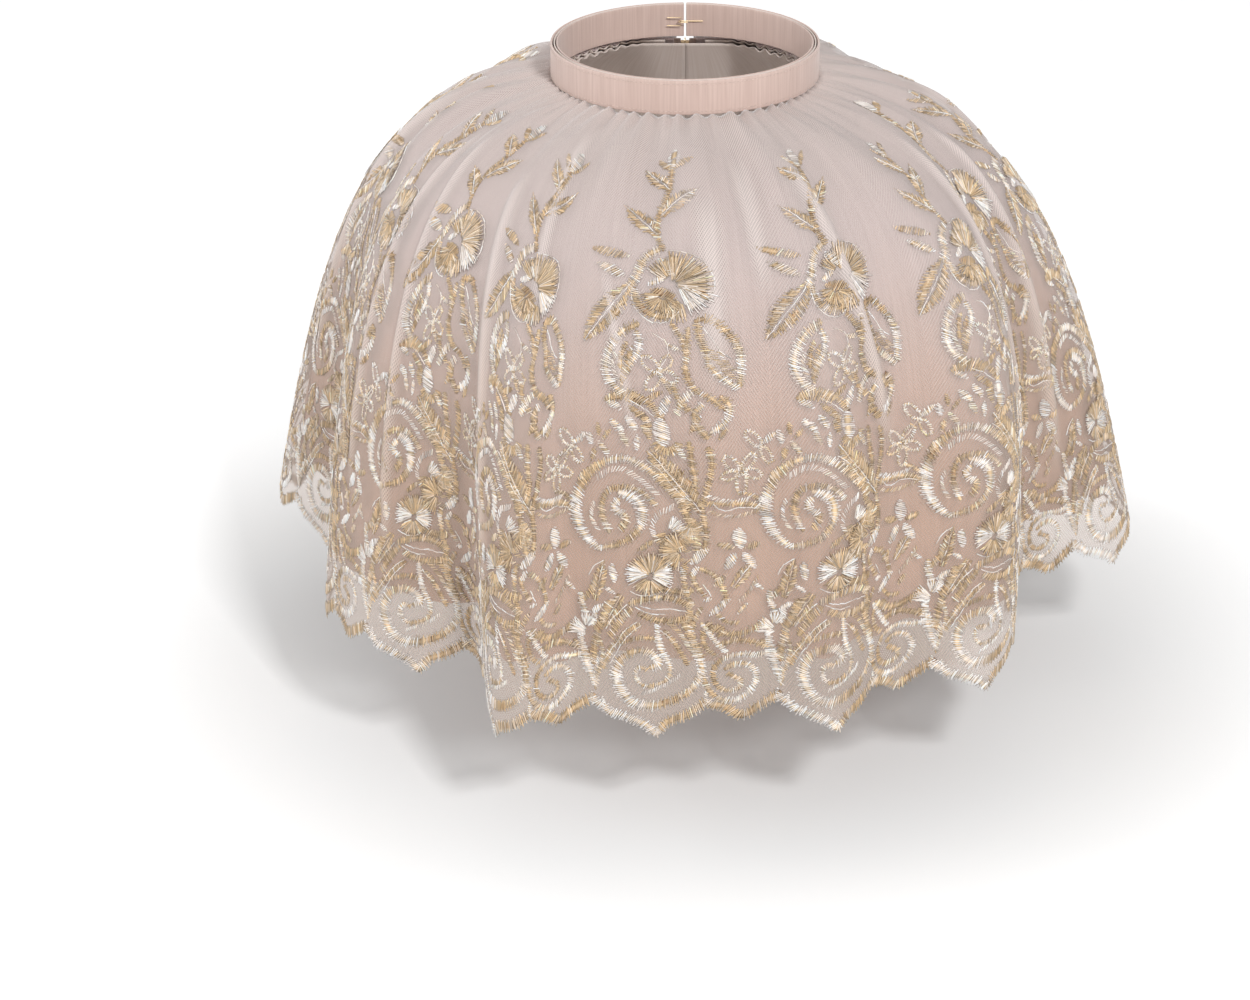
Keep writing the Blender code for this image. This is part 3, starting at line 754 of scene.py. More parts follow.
def leaf(base, tip, width, tone, vein):
    """A leaf of slanting stitches on either side of a vein."""
    base = np.array([base], float)
    tip = np.array([tip], float)
    along = tip - base
    length = np.linalg.norm(along)
    along = along / length
    across = beside(along)
    count = round(length / LEAF_PITCH)
    part = ((np.arange(count) + 0.5) / count)[:, None]
    half = 0.5 * width * np.sin(np.pi * part ** LEAF_ROUND[0]) ** LEAF_ROUND[1]
    half = half * ragged(count)[:, None]
    place = base + along * length * part
    rows = [line(np.vstack([base, 0.5 * (base + tip), tip]), vein)]
    reach = along * UNDER_REACH
    for side in (-1.0, 1.0):
        edge = place + (side * across + LEAF_SLANT * along) * half
        rows.append(rows_of(place + side * across, edge, SATIN_WIDTH, SATIN_HEIGHT, tone))
        aside = LEAF_PADDING[0] * side * across + LEAF_PADDING[1] * along
        middle = place[EVERY_THIRD] + aside * half[EVERY_THIRD]
        wide = UNDER_WIDTH * half[EVERY_THIRD, 0]
        rows.append(under(middle - reach, middle + reach, wide, tone))
    return np.vstack(rows)


# The edging: the bound edge, cut at its notch, and the two scrolls over each pair of scallops
edging = [
    satin(SCALLOPS[:NOTCH + 1], 11, (1, 1, 1, 0.9, 0.9, 1, 0.5, 0.2, 0.15, 0.3, 0.2)),
    satin(SCALLOPS[NOTCH:], 11, (0.5, 0.2, 0.15, 0.3, 0.15, 0.2, 0.15)),
    petal((0, 10), (0, 25), 5, 1),
    petal((11, 6), (11, 21), 5, 1),
    petal((112, 10), (112, 26), 5, 1),
    satin(
        [
            (97, 118), (97, 100), (98, 84), (101, 70), (106, 58), (108, 46), (104, 35), (95, 25),
            (83, 17), (69, 12), (55, 10), (43, 12), (34, 19), (28, 28), (25, 38), (25, 48), (29, 58),
            (36, 65), (46, 68), (56, 67), (64, 61), (66, 55), (60, 51),
        ],
        (7, 7, 8, 9, 9, 9, 10, 12, 13, 13, 12, 9, 10, 11),
        (0.1, 0.1, 0.15, 0.8, 1, 0.7, 0.15, 0.1, 0.6, 1, 1, 1, 0.4, 0.3, 0.9, 1),
    ),
    satin(
        [
            (65, 96), (66, 84), (68, 72), (72, 63), (76, 55), (77, 46), (74, 38), (67, 34), (57, 31),
            (49, 33), (44, 40), (44, 47), (48, 51), (55, 49),
        ],
        (6, 7, 6, 5.5, 5.5, 6),
        (1, 1, 1, 0.9, 0.8, 0.5, 0.3, 0.3, 0.9, 0.7, 0.4),
    ),
    comb([(49, 21), (59, 24), (69, 28), (78, 33), (86, 39)], 6, 0.8),
    satin([(73, 88), (81, 78), (88, 66), (94, 54)], 6, 0.2),
    comb([(85, 86), (92, 73), (98, 63)], 7, 0.5),
    line([(69, 90), (81, 78)], 1),
    satin([(49, 96), (37, 88), (26, 77), (17, 63), (12, 50)], 7, 0.2),
    line([(47, 99), (35, 90), (25, 75), (13, 58)], 1),
    line([(50, 95), (39, 86), (29, 72), (18, 54)], 1),
    satin([(29, 77), (49, 82), (64, 81)], 6, 0.1),
    satin(
        [
            (171, 63), (161, 61), (149, 63), (137, 62), (127, 58), (120, 50), (119, 40), (122, 31),
            (129, 26), (138, 25), (145, 29), (146, 35), (140, 39), (133, 43),
        ],
        6.5,
        (0.8, 0.7, 0.8, 0.7, 0.2, 0.1, 0.1, 0.3, 0.5, 0.3, 0.2),
    ),
    satin(
        [
            (131, 49), (139, 53), (149, 53), (157, 48), (161, 40), (160, 32), (155, 24), (147, 17),
            (138, 14), (127, 16), (118, 22), (112, 32), (109, 44), (107, 56),
        ],
        (6, 7, 8, 8, 7, 6),
        (0.4, 0.5, 0.8, 1, 1, 0.9, 0.4, 0.3, 0.2, 0.1),
    ),
    satin([(112, 93), (109, 83), (113, 70), (121, 63)], 6, 0.1),
    satin([(109, 96), (121, 78), (131, 66)], 6, 0.9),
    satin(
        [(172, 86), (173, 73), (176, 60), (180, 47), (185, 31)],
        (6, 9, 12, 9, 3),
        (0.7, 1, 1, 1, 0.8),
    ),
    satin([(188, 83), (193, 70), (192, 58), (189, 46), (186, 32)], 5, (0.2, 0.5, 0.4, 0.6)),
    fan((179, 86), 3, 21, 128, 182, 1),
    fan((180, 87), 3, 14, 182, 215, 1),
    fan((177, 91), 2, 16, 40, 110, 1),
]

# The border: the flowers, leaves and stems above the edging
border = [
    satin([(172, 126), (173, 116), (177, 106)], 7, 0.8),
    petal((187, 111), (183, 93), 8, 0.9),
    petal((115, 105), (135, 122), 9, 1),
    petal((110, 121), (118, 122), 6, 1),
    satin([(41, 118), (54, 122), (69, 124), (84, 122), (99, 114)], 8, 0.15),
    line([(49, 116), (61, 112), (77, 112), (94, 110)], 1),
    line([(45, 114), (59, 107), (73, 107)], 0.9),
    satin([(49, 107), (59, 102), (71, 100), (85, 100), (99, 105)], 8, 0.15),
    leaf((33, 126), (13, 92), 17, 0.15, 0.3),
    petal((2, 107), (15, 116), 8, 1),
    line([(37, 116), (25, 104), (17, 91)], 1),
    fan((61, 146), 2, 25, 32, 150, 0.2, 1.5),
    fan((59, 144), 2, 19, 207, 325, 0.2, 1.5),
    fan((60, 148), 2, 24, 150, 207, 1, 1.5),
    fan((59, 147), 3, 24, -36, 30, 0.95, 1.5),
    line([(40, 131), (49, 126), (61, 126), (70, 131)], 0.9),
    leaf((7, 120), (17, 160), 13, 0.15, 0.3),
    line([(2, 145), (8, 155), (17, 161)], 0.9),
    petal((25, 159), (26, 139), 10, 1),
    petal((17, 134), (27, 127), 6, 1),
    petal((142, 172), (142, 194), 16, 1),
    petal((138, 173), (122, 179), 9, 0.15),
    petal((147, 173), (162, 177), 9, 0.15),
    petal((140, 168), (129, 152), 12, 1),
    petal((146, 169), (157, 151), 12, 1),
    satin([(93, 158), (92, 143), (95, 126), (99, 116)], 6, 0.15),
    satin([(108, 112), (103, 104), (100, 94)], 6, 0.15),
    comb([(144, 116), (153, 126), (161, 139)], 6, 0.4),
    petal((155, 138), (166, 129), 6, 0.9),
    satin([(171, 118), (181, 128), (187, 140)], 7, 0.15),
    fan((89, 172), 2, 21, 100, 262, 0.1, 2),
    satin([(99, 148), (103, 137), (111, 126)], 6, 0.15),
    satin([(109, 153), (120, 146), (128, 133), (131, 120)], 6, 0.2),
    line([(110, 137), (117, 125)], 0.9),
    petal((99, 147), (106, 156), 8, 0.9),
    satin([(71, 134), (85, 129), (99, 130)], 9, 0.05),
    satin([(21, 118), (15, 103), (7, 90)], 9, 0.1),
    satin([(41, 112), (31, 100), (21, 84)], 8, 0.15),
    satin([(113, 96), (125, 88), (139, 84), (155, 88), (167, 96)], 8, 0.1),
    satin([(125, 74), (139, 78), (155, 76), (169, 70)], 7, 0.15),
    satin([(117, 86), (119, 92), (125, 93), (128, 88), (124, 83)], 5, 0),
    comb([(73, 98), (85, 85), (95, 70)], 8, 0.2),
    satin([(90, 100), (99, 82), (107, 64)], 8, 0.1),
    satin([(9, 90), (5, 73), (3, 56)], 8, 0.25),
    comb([(7, 28), (6, 42), (10, 58)], 6, 0.6),
    comb([(85, 18), (99, 28), (107, 42)], 6, 0.4),
    satin([(166, 76), (175, 68), (183, 56)], 6, 0.2),
    petal((151, 116), (141, 106), 7, 0.3),
    leaf((137, 133), (153, 156), 12, 0.2, 0.7),
    petal((119, 135), (131, 146), 8, 0.3),
    satin([(123, 106), (131, 98), (143, 96)], 5, 0.2),
]

# The scrolls: the large scroll between the garlands, with its leaves and small flowers
scrolls = [
    satin(
        [
            (97, 213), (89, 223), (79, 234), (69, 245), (59, 254), (51, 259), (41, 263), (29, 262),
            (18, 257), (9, 248), (1, 238), (-4, 228), (-7, 215), (-7, 203), (-3, 191), (5, 180),
            (14, 173),
        ],
        (7, 8, 9, 9, 8, 8, 9, 12, 13, 11, 7),
        (0.1, 0.15, 0.2, 0.5, 0.8, 0.6, 0.1, 0.1, 0.9, 1, 1, 0.9),
    ),
    satin(
        [
            (14, 173), (21, 175), (31, 178), (41, 183), (49, 191), (54, 201), (54, 213), (50, 222),
            (43, 227), (37, 229),
        ],
        (6, 7, 8, 9, 12, 12, 10),
        (0.6, 0.1, 0.1, 0.2, 0.8, 1, 1, 1),
    ),
    satin(
        [
            (66, 218), (59, 226), (49, 233), (37, 235), (26, 232), (20, 224), (18, 213), (19, 203),
            (23, 193),
        ],
        7,
        (0.4, 0.5, 0.2, 0.1, 0.1, 0.1, 0.2, 1),
    ),
    satin(
        [(33, 222), (29, 216), (33, 210), (39, 207), (39, 200), (34, 193)],
        8,
        (1, 1, 0.8, 0.2, 0.1),
    ),
    comb([(16, 240), (24, 247), (34, 250), (44, 246), (54, 238), (64, 228)], 8, 0.8),
    comb([(10, 222), (6, 212), (6, 202), (10, 193)], 6, 0.7),
    petal((10, 288), (10, 275), 9, 1),
    petal((18, 284), (18, 297), 6, 0.15),
    petal((21, 281), (29, 291), 6, 0.15),
    petal((15, 273), (10, 259), 7, 0.15),
    petal((18, 279), (26, 265), 8, 0.6),
    petal((29, 301), (40, 288), 10, 1),
    petal((43, 305), (51, 290), 10, 0.9),
    petal((52, 287), (51, 271), 7, 1),
    petal((38, 290), (43, 275), 8, 0.5),
    petal((73, 303), (74, 275), 20, 1),
    fan((79, 281), 6, 17, 190, 345, 0.1),
    satin([(64, 266), (73, 256), (83, 244), (93, 228)], 8, 0.15),
    line([(59, 262), (71, 252), (85, 234), (99, 222)], 1),
    petal((86, 278), (95, 262), 8, 0.7),
    loop((160, 273), (146, 288), 9, 0.8),
    petal((161, 275), (174, 287), 8, 0.95),
    loop((161, 272), (169, 257), 8, 0.6),
    line([(159, 272), (151, 262), (144, 254)], 0.5),
    loop((140, 251), (128, 264), 9, 0.7),
    loop((144, 252), (154, 266), 9, 0.6),
    loop((146, 249), (161, 244), 9, 0.7),
    loop((139, 248), (126, 244), 8, 0.5),
    loop((143, 247), (143, 228), 9, 0.6),
    satin([(99, 278), (101, 258), (104, 238), (99, 218)], 7, 0.15),
    satin([(115, 273), (118, 258), (115, 238), (110, 218)], 7, 0.15),
    satin([(114, 284), (106, 295), (104, 307), (110, 316)], 8, (0.1, 0.1, 0.2, 0.8)),
    satin([(126, 322), (132, 313), (131, 303), (125, 294), (119, 290)], 8, (0.1, 0.3, 0.8, 1, 1)),
    comb([(151, 226), (139, 223), (127, 224), (117, 228)], 7, 0.9),
    line([(119, 218), (125, 212), (133, 211), (141, 214), (159, 212)], 1),
    comb([(113, 210), (124, 205), (137, 203), (154, 206), (167, 211)], 6, 0.3),
    petal((159, 223), (168, 216), 7, 1),
    satin([(147, 228), (155, 224), (161, 219)], 5, 0.2),
    comb([(69, 185), (66, 195), (71, 206), (82, 212)], 8, 0.8),
    fan((77, 190), 4, 19, 10, 75, 0.95),
    fan((83, 190), 7, 21, 185, 355, 0.1),
    fan((89, 186), 8, 22, 330, 420, 0.15),
    petal((97, 206), (110, 189), 11, 0.15),
    petal((98, 159), (115, 174), 12, 0.9),
    comb([(69, 182), (73, 170), (83, 162), (95, 158)], 8, 0.15),
    satin([(91, 218), (97, 203), (101, 188), (105, 170)], 8, 0.15),
    petal((89, 156), (93, 144), 7, 0.9),
    leaf((109, 211), (61, 272), 24, 0.12, 1),
    fan((99, 198), 2, 18, 200, 300, 0.1),
    satin([(115, 219), (131, 218), (149, 217), (165, 211)], 7, 0.2),
    satin([(108, 218), (111, 202), (113, 184), (111, 170)], 7, 0.1),
    comb([(73, 188), (81, 177), (93, 169)], 8, 0.1),
    petal((49, 172), (65, 182), 8, 0.2),
    satin([(171, 242), (177, 250), (185, 256)], 7, 0.15),
    petal((123, 281), (131, 294), 8, 0.2),
    petal((167, 240), (179, 252), 8, 0.2),
    petal((63, 282), (57, 298), 9, 0.2),
]

# The garlands: the climbing stems with their leaves and a raised flower
garlands = [
    fan((86, 431), 3, 33, -26, 98, 0.3, 2),
    line([(115, 415), (119, 430), (115, 446), (106, 458), (93, 464), (81, 464)], 0.8),
    fan((90, 433), 5, 35, -72, -26, 1, 2),
    fan((88, 429), 16, 36, -108, -72, 0.3, 1),
    fan((77, 420), 3, 19, 170, 330, 0.15, 1),
    satin(
        [(53, 426), (54, 417), (59, 408), (67, 402), (76, 400), (84, 403), (89, 411)],
        (8, 9, 10, 10, 9, 8),
        (0.6, 0.3, 0.15, 0.4, 0.2, 0.45),
    ),
    line([(50, 421), (53, 408), (61, 398), (72, 393), (83, 396), (92, 406)], 0.9),
    satin([(49, 428), (55, 439), (59, 452), (65, 461), (73, 466)], 9, 0.6),
    petal((74, 458), (87, 439), 11, 1),
    petal((64, 431), (79, 438), 9, 1),
    petal((70, 450), (77, 434), 8, 0.3),
    petal((66, 427), (90, 417), 13, -0.1),
    leaf((50, 432), (9, 375), 21, 0.25, 1),
    satin(
        [(54, 392), (43, 386), (34, 374), (29, 362), (27, 348), (31, 336), (40, 327)],
        9,
        (0.3, 0.5, 0.7, 0.9, 0.8, 0.6),
    ),
    satin([(54, 384), (56, 374), (52, 361), (44, 348)], 7, (0.8, 1, 0.9, 0.6)),
    satin([(45, 374), (41, 364), (39, 352)], 5, 0.2),
    satin(
        [(106, 396), (117, 397), (127, 386), (137, 372), (141, 356), (140, 334)],
        8,
        (0.15, 0.1, 0.15, 0.6, 1, 0.3),
    ),
    satin(
        [(106, 393), (108, 380), (113, 366), (116, 352), (125, 341), (138, 330)],
        7,
        (0.1, 0.2, 0.3, 0.2, 0.6, 0.8),
    ),
    line([(111, 389), (119, 376), (125, 364), (133, 358)], 1),
    comb([(121, 366), (125, 356), (133, 346)], 6, 0.4),
    loop((72, 347), (58, 361), 10, 0.8),
    loop((72, 345), (62, 330), 10, 0.6),
    loop((74, 347), (89, 338), 9, 0.6),
    loop((74, 349), (83, 362), 9, 0.6),
    petal((73, 344), (83, 326), 6, 0.3),
    line([(67, 384), (77, 378), (81, 370), (79, 360), (73, 350)], 0.8),
    petal((79, 374), (93, 367), 6, 0.6),
    satin([(96, 351), (99, 338), (106, 328), (117, 322), (126, 312)], 7, 0.1),
    satin([(101, 327), (93, 319), (88, 307)], 8, 0.7),
    petal((82, 324), (72, 306), 12, 1),
    satin([(27, 320), (39, 327), (51, 325), (64, 316), (73, 304)], 8, (0.3, 0.15, 0.2, 0.15)),
    petal((27, 319), (39, 311), 9, 1),
    petal((45, 315), (65, 297), 9, 0.1),
    line([(45, 320), (57, 313), (67, 304)], 0.9),
    petal((19, 466), (50, 459), 12, 0.2),
    petal((24, 452), (45, 439), 13, 0.65),
    satin([(99, 388), (98, 368), (96, 350)], 6, 0.2),
    satin([(77, 466), (72, 486), (75, 510), (83, 534), (85, 562)], 6, 0.1),
    leaf((73, 482), (49, 512), 16, 0.25, 1),
    leaf((76, 504), (103, 532), 16, 0.3, 1),
    leaf((84, 534), (63, 562), 14, 0.25, 1),
    petal((85, 560), (87, 588), 13, 0.9),
    petal((83, 560), (73, 578), 8, 0.2),
    petal((87, 560), (100, 576), 8, 0.2),
    fan((86, 432), 7, 27, 98, 150, 0.3, 2),
    petal((50, 372), (39, 332), 9, 0.1),
    comb([(113, 368), (121, 353), (131, 340)], 7, 0.15),
    comb([(131, 378), (136, 364), (136, 348)], 6, 0.5),
    satin([(27, 320), (41, 323), (57, 318)], 9, 0.05),
    satin([(85, 336), (89, 322), (99, 310)], 7, 0.15),
    petal((64, 290), (57, 308), 8, 0.1),
    petal((109, 306), (99, 288), 8, 0.15),
    comb([(35, 366), (31, 354), (34, 340)], 6, 0.6),
    petal((59, 320), (75, 328), 8, 0.1),
    satin([(85, 392), (93, 380), (97, 366)], 6, 0.15),
]

GARLAND_SQUARE = 100.0
DRIFT = 0.02
THREAD_GOLD = np.array((0.60, 0.435, 0.255))
THREAD_IVORY = np.array((0.94, 0.87, 0.825))
THREAD_SHADOW = np.array((0.29, 0.17, 0.09))
THREAD_SINK = 0.00015
STITCH_RINGS = (0.14, 0.86)
STITCH_JITTER = 0.4
STITCH_WIDTHS = (0.85, 1.1)
STITCH_HEIGHTS = (0.75, 1.25)
TONE_WANDER = (0.26, 0.16)
GLINT_AND_TONE_SPREAD = 0.24
SUNK_END_PAINTED_SHADE = 0.32
JUST_INSIDE = 1e-6
lace_random = np.random.default_rng(11)

row_across = np.gradient(net_grid, axis=0)
row_down = np.gradient(net_grid, axis=1)
net_out = np.cross(row_down, row_across)
net_out /= np.linalg.norm(net_out, axis=-1, keepdims=True)
front_column = net_height[len(net_height) // 2, ::-1]
front_widen = HEM_RADIUS / bell(net_share[0], 0.0)[0][::-1]


def on_net(repeat, square):
    """Places on the net under squares of one repeat, directions out of it, and which are on it."""
    height = square[:, 1] * LACE_SQUARE
    widen = np.interp(height, front_column, front_widen)
    x = GARLAND_SQUARE + (square[:, 0] + DRIFT * square[:, 1] - GARLAND_SQUARE) * widen
    column = (repeat + x / SQUARES) * NET_COLUMNS
    inside = (column >= 0.0) & (column <= REPEATS * NET_COLUMNS)
    column = np.clip(column, 0.0, REPEATS * NET_COLUMNS - JUST_INSIDE)
    low = column.astype(int)
    part = column - low
    top = net_top[low] + (net_top[low + 1] - net_top[low]) * part
    edge = net_edge[low] + (net_edge[low + 1] - net_edge[low]) * part
    row = (top - height) / (top - edge) * NET_ROWS
    near = np.clip(row, 0.0, NET_ROWS - JUST_INSIDE).astype(int)
    rest = (row - near)[:, None]
    part = part[:, None]
    found = []
    for grid in (net_grid, net_out):
        above = grid[low, near] * (1.0 - part) + grid[low + 1, near] * part
        below = grid[low, near + 1] * (1.0 - part) + grid[low + 1, near + 1] * part
        found.append(above + (below - above) * rest)
    return *found, inside


def slivers(name, start, end, out, width, height, colours, look):
    """Raised stitches as slivers of thread, pointed at both ends."""
    along = end - start
    side = np.cross(out, along)
    side *= (0.5 * width / np.linalg.norm(side, axis=1))[:, None]
    rise = out * height[:, None]
    spots = [start - out * THREAD_SINK]
    for ring in STITCH_RINGS:
        middle = start + along * ring
        spots += [middle + side, middle + rise, middle - side]
    spots.append(end - out * THREAD_SINK)
    count = len(start)
    ends = np.array(((0, 2, 1), (0, 3, 2), (0, 1, 3), (7, 4, 5), (7, 5, 6), (7, 6, 4)))
    walls = np.array(((1, 2, 5, 4), (2, 3, 6, 5), (3, 1, 4, 6)))
    base = 8 * np.arange(count)[:, None, None]
    faces = (ends + base).reshape(-1, 3).tolist() + (walls + base).reshape(-1, 4).tolist()
    mesh = bpy.data.meshes.new(name)
    mesh.from_pydata(np.stack(spots, 1).reshape(-1, 3), [], faces)
    paint = mesh.color_attributes.new("thread", "FLOAT_COLOR", "POINT")
    full = np.ones((count, 8, 4), np.float32)
    full[..., :3] = np.clip(colours, 0.0, 1.0)[:, None, :]
    # Painted shade: both ends of each stitch, where it goes down into the net, are darkened
    full[:, (0, 7), :3] *= SUNK_END_PAINTED_SHADE
    paint.data.foreach_set("color", full.ravel())
    mesh.shade_smooth()
    return link(name, mesh, look)


def stitched(name, rows, repeats, look):
    """The raised stitches of one part of the lace, over some of its repeats."""
    found = []
    count = len(rows)
    for repeat in repeats:
        jitter = lace_random.normal(0.0, STITCH_JITTER, (count, 4))
        start, _, kept = on_net(repeat, rows[:, 0:2] + jitter[:, 0:2])
        end, _, also = on_net(repeat, rows[:, 2:4] + jitter[:, 2:4])
        _, out, _ = on_net(repeat, 0.5 * (rows[:, 0:2] + rows[:, 2:4]))
        end += out * (LACE_SQUARE * rows[:, 7])[:, None]
        width = LACE_SQUARE * rows[:, 4] * lace_random.uniform(*STITCH_WIDTHS, count)
        height = LACE_SQUARE * rows[:, 5] * lace_random.uniform(*STITCH_HEIGHTS, count)
        wander = TONE_WANDER[0] - TONE_WANDER[1] * np.clip(rows[:, 6], 0.0, 1.0)
        tone = (rows[:, 6] + wander * lace_random.normal(0.0, 1.0, count))[:, None]
        # Each stitch is lighter or darker at random: partly the thread's own tone, partly painted
        # glints of the shiny rayon
        shade = np.exp(lace_random.normal(0.0, GLINT_AND_TONE_SPREAD, count))[:, None]
        pale = (THREAD_IVORY - THREAD_GOLD) * smooth(tone)
        # Negative tones, mostly the padding's, mix towards the shadow colour as painted shade
        deep = (THREAD_SHADOW - THREAD_GOLD) * np.clip(-tone, 0.0, 1.0)
        colour = (THREAD_GOLD + pale + deep) * shade
        both = kept & also
        found.append([value[both] for value in (start, end, out, width, height, colour)])
    return slivers(name, *(np.concatenate(values) for values in zip(*found)), look)


thread_look, thread_shader = new_look("rayon_thread", roughness=0.3, specular=0.7)
thread_paint = add_node(thread_look, "ShaderNodeAttribute", {}, attribute_name="thread")
thread_look.node_tree.links.new(thread_paint.outputs["Color"], thread_shader.inputs["Base Color"])
thread_shader.inputs["Sheen Weight"].default_value = 0.2
thread_shader.inputs["Sheen Roughness"].default_value = 0.3

lace_parts = {"edging": edging, "border": border, "scrolls": scrolls, "garlands": garlands}
for width, ends in seam_ends.items():
    repeats = range(round(ends[0] * REPEATS), round(ends[1] * REPEATS))
    for part_name, rows in lace_parts.items():
        lace = stitched("lace_" + part_name + "_" + width, np.vstack(rows), repeats, thread_look)
        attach(lace, "skirt")
    net = net_widths[width]

# The waistband is a satin ribbon over a woven stay, with a satin facing on the inside. It is
# seamed through every layer of the skirt and topstitched near both edges, and its ends meet at
# the back, where a hook and an eye close them.
BAND_RINGS = {"facing": (0.0903, 0.0015), "stay": (0.0921, 0.0014), "outer": (0.0945, 0.0020)}
BAND_END = 0.0008
BAND_COLUMNS = 200
BAND_ROWS = 8
BAND_RIPPLE = 0.00012
RIBBON_DARK = (0.60, 0.445, 0.39)
RIBBON_LIGHT = (0.70, 0.54, 0.48)
BAND_SOFT = 0.4
TOPSTITCH_IN = 0.0025
TOPSTITCH = (0.0024, 0.0032)
TOPSTITCH_FROM_END = 0.01
TOPSTITCH_WIDTH = 0.0004
TOPSTITCH_HEIGHT = 0.00024
TOPSTITCH_COLOUR = (0.74, 0.59, 0.52)
TOPSTITCH_SHADE = 0.05
SOFT_STEPS = 3
SOFT_ANGLE = 40.0


def soften(thing, width):
    """Round off the edges of a finished piece."""
    edges = thing.modifiers.new("edges", "BEVEL")
    edges.width = width
    edges.segments = SOFT_STEPS
    edges.limit_method = "ANGLE"
    edges.angle_limit = math.radians(SOFT_ANGLE)
    bpy.ops.object.modifier_apply(modifier=edges.name)


ribbon_look = woven_look(
    "satin_band", RIBBON_DARK, RIBBON_LIGHT, thread=0.0004, roughness=0.42, sheen=0.25
)
ring_looks = {
    "facing": (ribbon_look, "satin_lining"),
    "stay": (cotton_look, "cotton_slip"),
    "outer": (ribbon_look, "satin_band"),
}
for ring, (radius, thickness) in BAND_RINGS.items():
    open_turn = BAND_END / radius
    turn = np.linspace(open_turn - np.pi, np.pi - open_turn, BAND_COLUMNS + 1)[:, None]
    drop = np.linspace(0.0, BAND_HEIGHT, BAND_ROWS + 1)[None, :]
    ripple = BAND_RIPPLE * waves(np.degrees(turn), GATHER_WAVES) * (drop / BAND_HEIGHT) ** 2
    out = radius - 2.0 * BAND_RIPPLE + ripple
    points = np.stack(np.broadcast_arrays(out * np.sin(turn), -out * np.cos(turn), -drop), -1)
    look, slot = ring_looks[ring]
    band = cloth("waistband_" + ring + "_cloth", points, thickness - 4.0 * BAND_RIPPLE, look)
    soften(band, BAND_SOFT * thickness)
    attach(band, "skirt")
    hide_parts("waistband_" + ring)

ring_radius = BAND_RINGS["outer"][0] - BAND_RIPPLE
last_turn = np.pi - TOPSTITCH_FROM_END
stitch_turn = np.arange(-last_turn, last_turn, TOPSTITCH[1] / ring_radius)
starts = []
stops = []
for height in (-TOPSTITCH_IN, TOPSTITCH_IN - BAND_HEIGHT):
    for kept, turns in ((starts, stitch_turn), (stops, stitch_turn + TOPSTITCH[0] / ring_radius)):
        round_band = (ring_radius * np.sin(turns), -ring_radius * np.cos(turns))
        kept.append(np.column_stack([*round_band, np.full_like(turns, height)]))
starts = np.vstack(starts)
stops = np.vstack(stops)
outward = (starts + stops) * (1.0, 1.0, 0.0)
outward /= np.linalg.norm(outward, axis=1, keepdims=True)
count = len(starts)
topstitch = slivers(
    "waistband_topstitch",
    starts,
    stops,
    outward,
    np.full(count, TOPSTITCH_WIDTH),
    np.full(count, TOPSTITCH_HEIGHT),
    np.array(TOPSTITCH_COLOUR) * lace_random.normal(1.0, TOPSTITCH_SHADE, (count, 1)),
    thread_look,
)
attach(topstitch, "skirt")

# The zip closes the back: two woven tapes stitched under the edges of the opening, each with a row
# of moulded teeth and a brass top stop, joined at the foot by a brass stop.
# Its slider is two brass plates on a bridge between the rows, with a wire bail for the pull tab.
TAPE_DEPTH = 0.0013
TAPE_THICKNESS = 0.0005
TAPE_SIDES = (0.0031, 0.0121)
TAPE_TOP = 0.003
TAPE_FILL = 0.94
TAPE_COLUMNS = 8
TAPE_ROWS = 60
TAPE_SOFT = 0.3
TAPE_DARK = (0.58, 0.44, 0.38)
TAPE_LIGHT = (0.68, 0.54, 0.48)

zip_top = hang(np.array(BACK), np.array(0.0), OVERLAY)
zip_down = hang(np.array(BACK), np.array(ZIP_SHARE), OVERLAY) - zip_top
zip_length = np.linalg.norm(zip_down)
zip_down /= zip_length
zip_out = np.array((0.0, -zip_down[2], zip_down[1]))
tape_look = woven_look(
    "zip_tape", TAPE_DARK, TAPE_LIGHT, thread=0.0006, roughness=0.8, sheen=0.1
)
tape_run = np.linspace(TAPE_TOP, TAPE_FILL * zip_length, TAPE_ROWS)
tape_level = TAPE_DEPTH - 0.5 * TAPE_THICKNESS
for hand, sides in (("left", TAPE_SIDES), ("right", TAPE_SIDES[::-1])):
    side = -1.0 if hand == "left" else 1.0
    across = side * np.linspace(*sides, TAPE_COLUMNS)
    points = np.zeros((TAPE_COLUMNS, TAPE_ROWS, 3))
    points[..., 0] = across[:, None]
    points += zip_top + tape_run[None, :, None] * zip_down - tape_level * zip_out
    tape = cloth("zip_tape_" + hand + "_woven", points, TAPE_THICKNESS, tape_look)
    soften(tape, TAPE_SOFT * TAPE_THICKNESS)
    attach(tape, "skirt")
    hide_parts("zip_tape_" + hand)

TEETH_DARK = (0.66, 0.53, 0.47)
TEETH_LIGHT = (0.74, 0.62, 0.56)
BRASS_DARK = (0.60, 0.45, 0.26)
BRASS_LIGHT = (0.78, 0.63, 0.42)
SCUFF_DEPTH = 0.00002
SCUFF_BUMP = 0.4


def worn_look(name, dark, light, metallic, roughness, grain):
    """A hard finish that is duller and darker in small patches."""
    made, shader = new_look(name, roughness[0], specular=0.5)
    place = add_node(made, "ShaderNodeTexCoord", {}).outputs["Object"]
    grains = {"Vector": place, "Scale": 1.0 / grain, "Detail": 4.0}
    patches = add_node(made, "ShaderNodeTexNoise", grains).outputs["Fac"]
    made.node_tree.links.new(tint(made, patches, dark, light), shader.inputs["Base Color"])
    dulled = {"Value": patches, "From Min": 0.3, "From Max": 0.7}
    dulled.update({"To Min": roughness[1], "To Max": roughness[0]})
    dull = add_node(made, "ShaderNodeMapRange", dulled)
    made.node_tree.links.new(dull.outputs["Result"], shader.inputs["Roughness"])
    raised = {"Height": patches, "Distance": SCUFF_DEPTH, "Strength": SCUFF_BUMP}
    scuffs = add_node(made, "ShaderNodeBump", raised)
    made.node_tree.links.new(scuffs.outputs["Normal"], shader.inputs["Normal"])
    shader.inputs["Metallic"].default_value = metallic
    return made


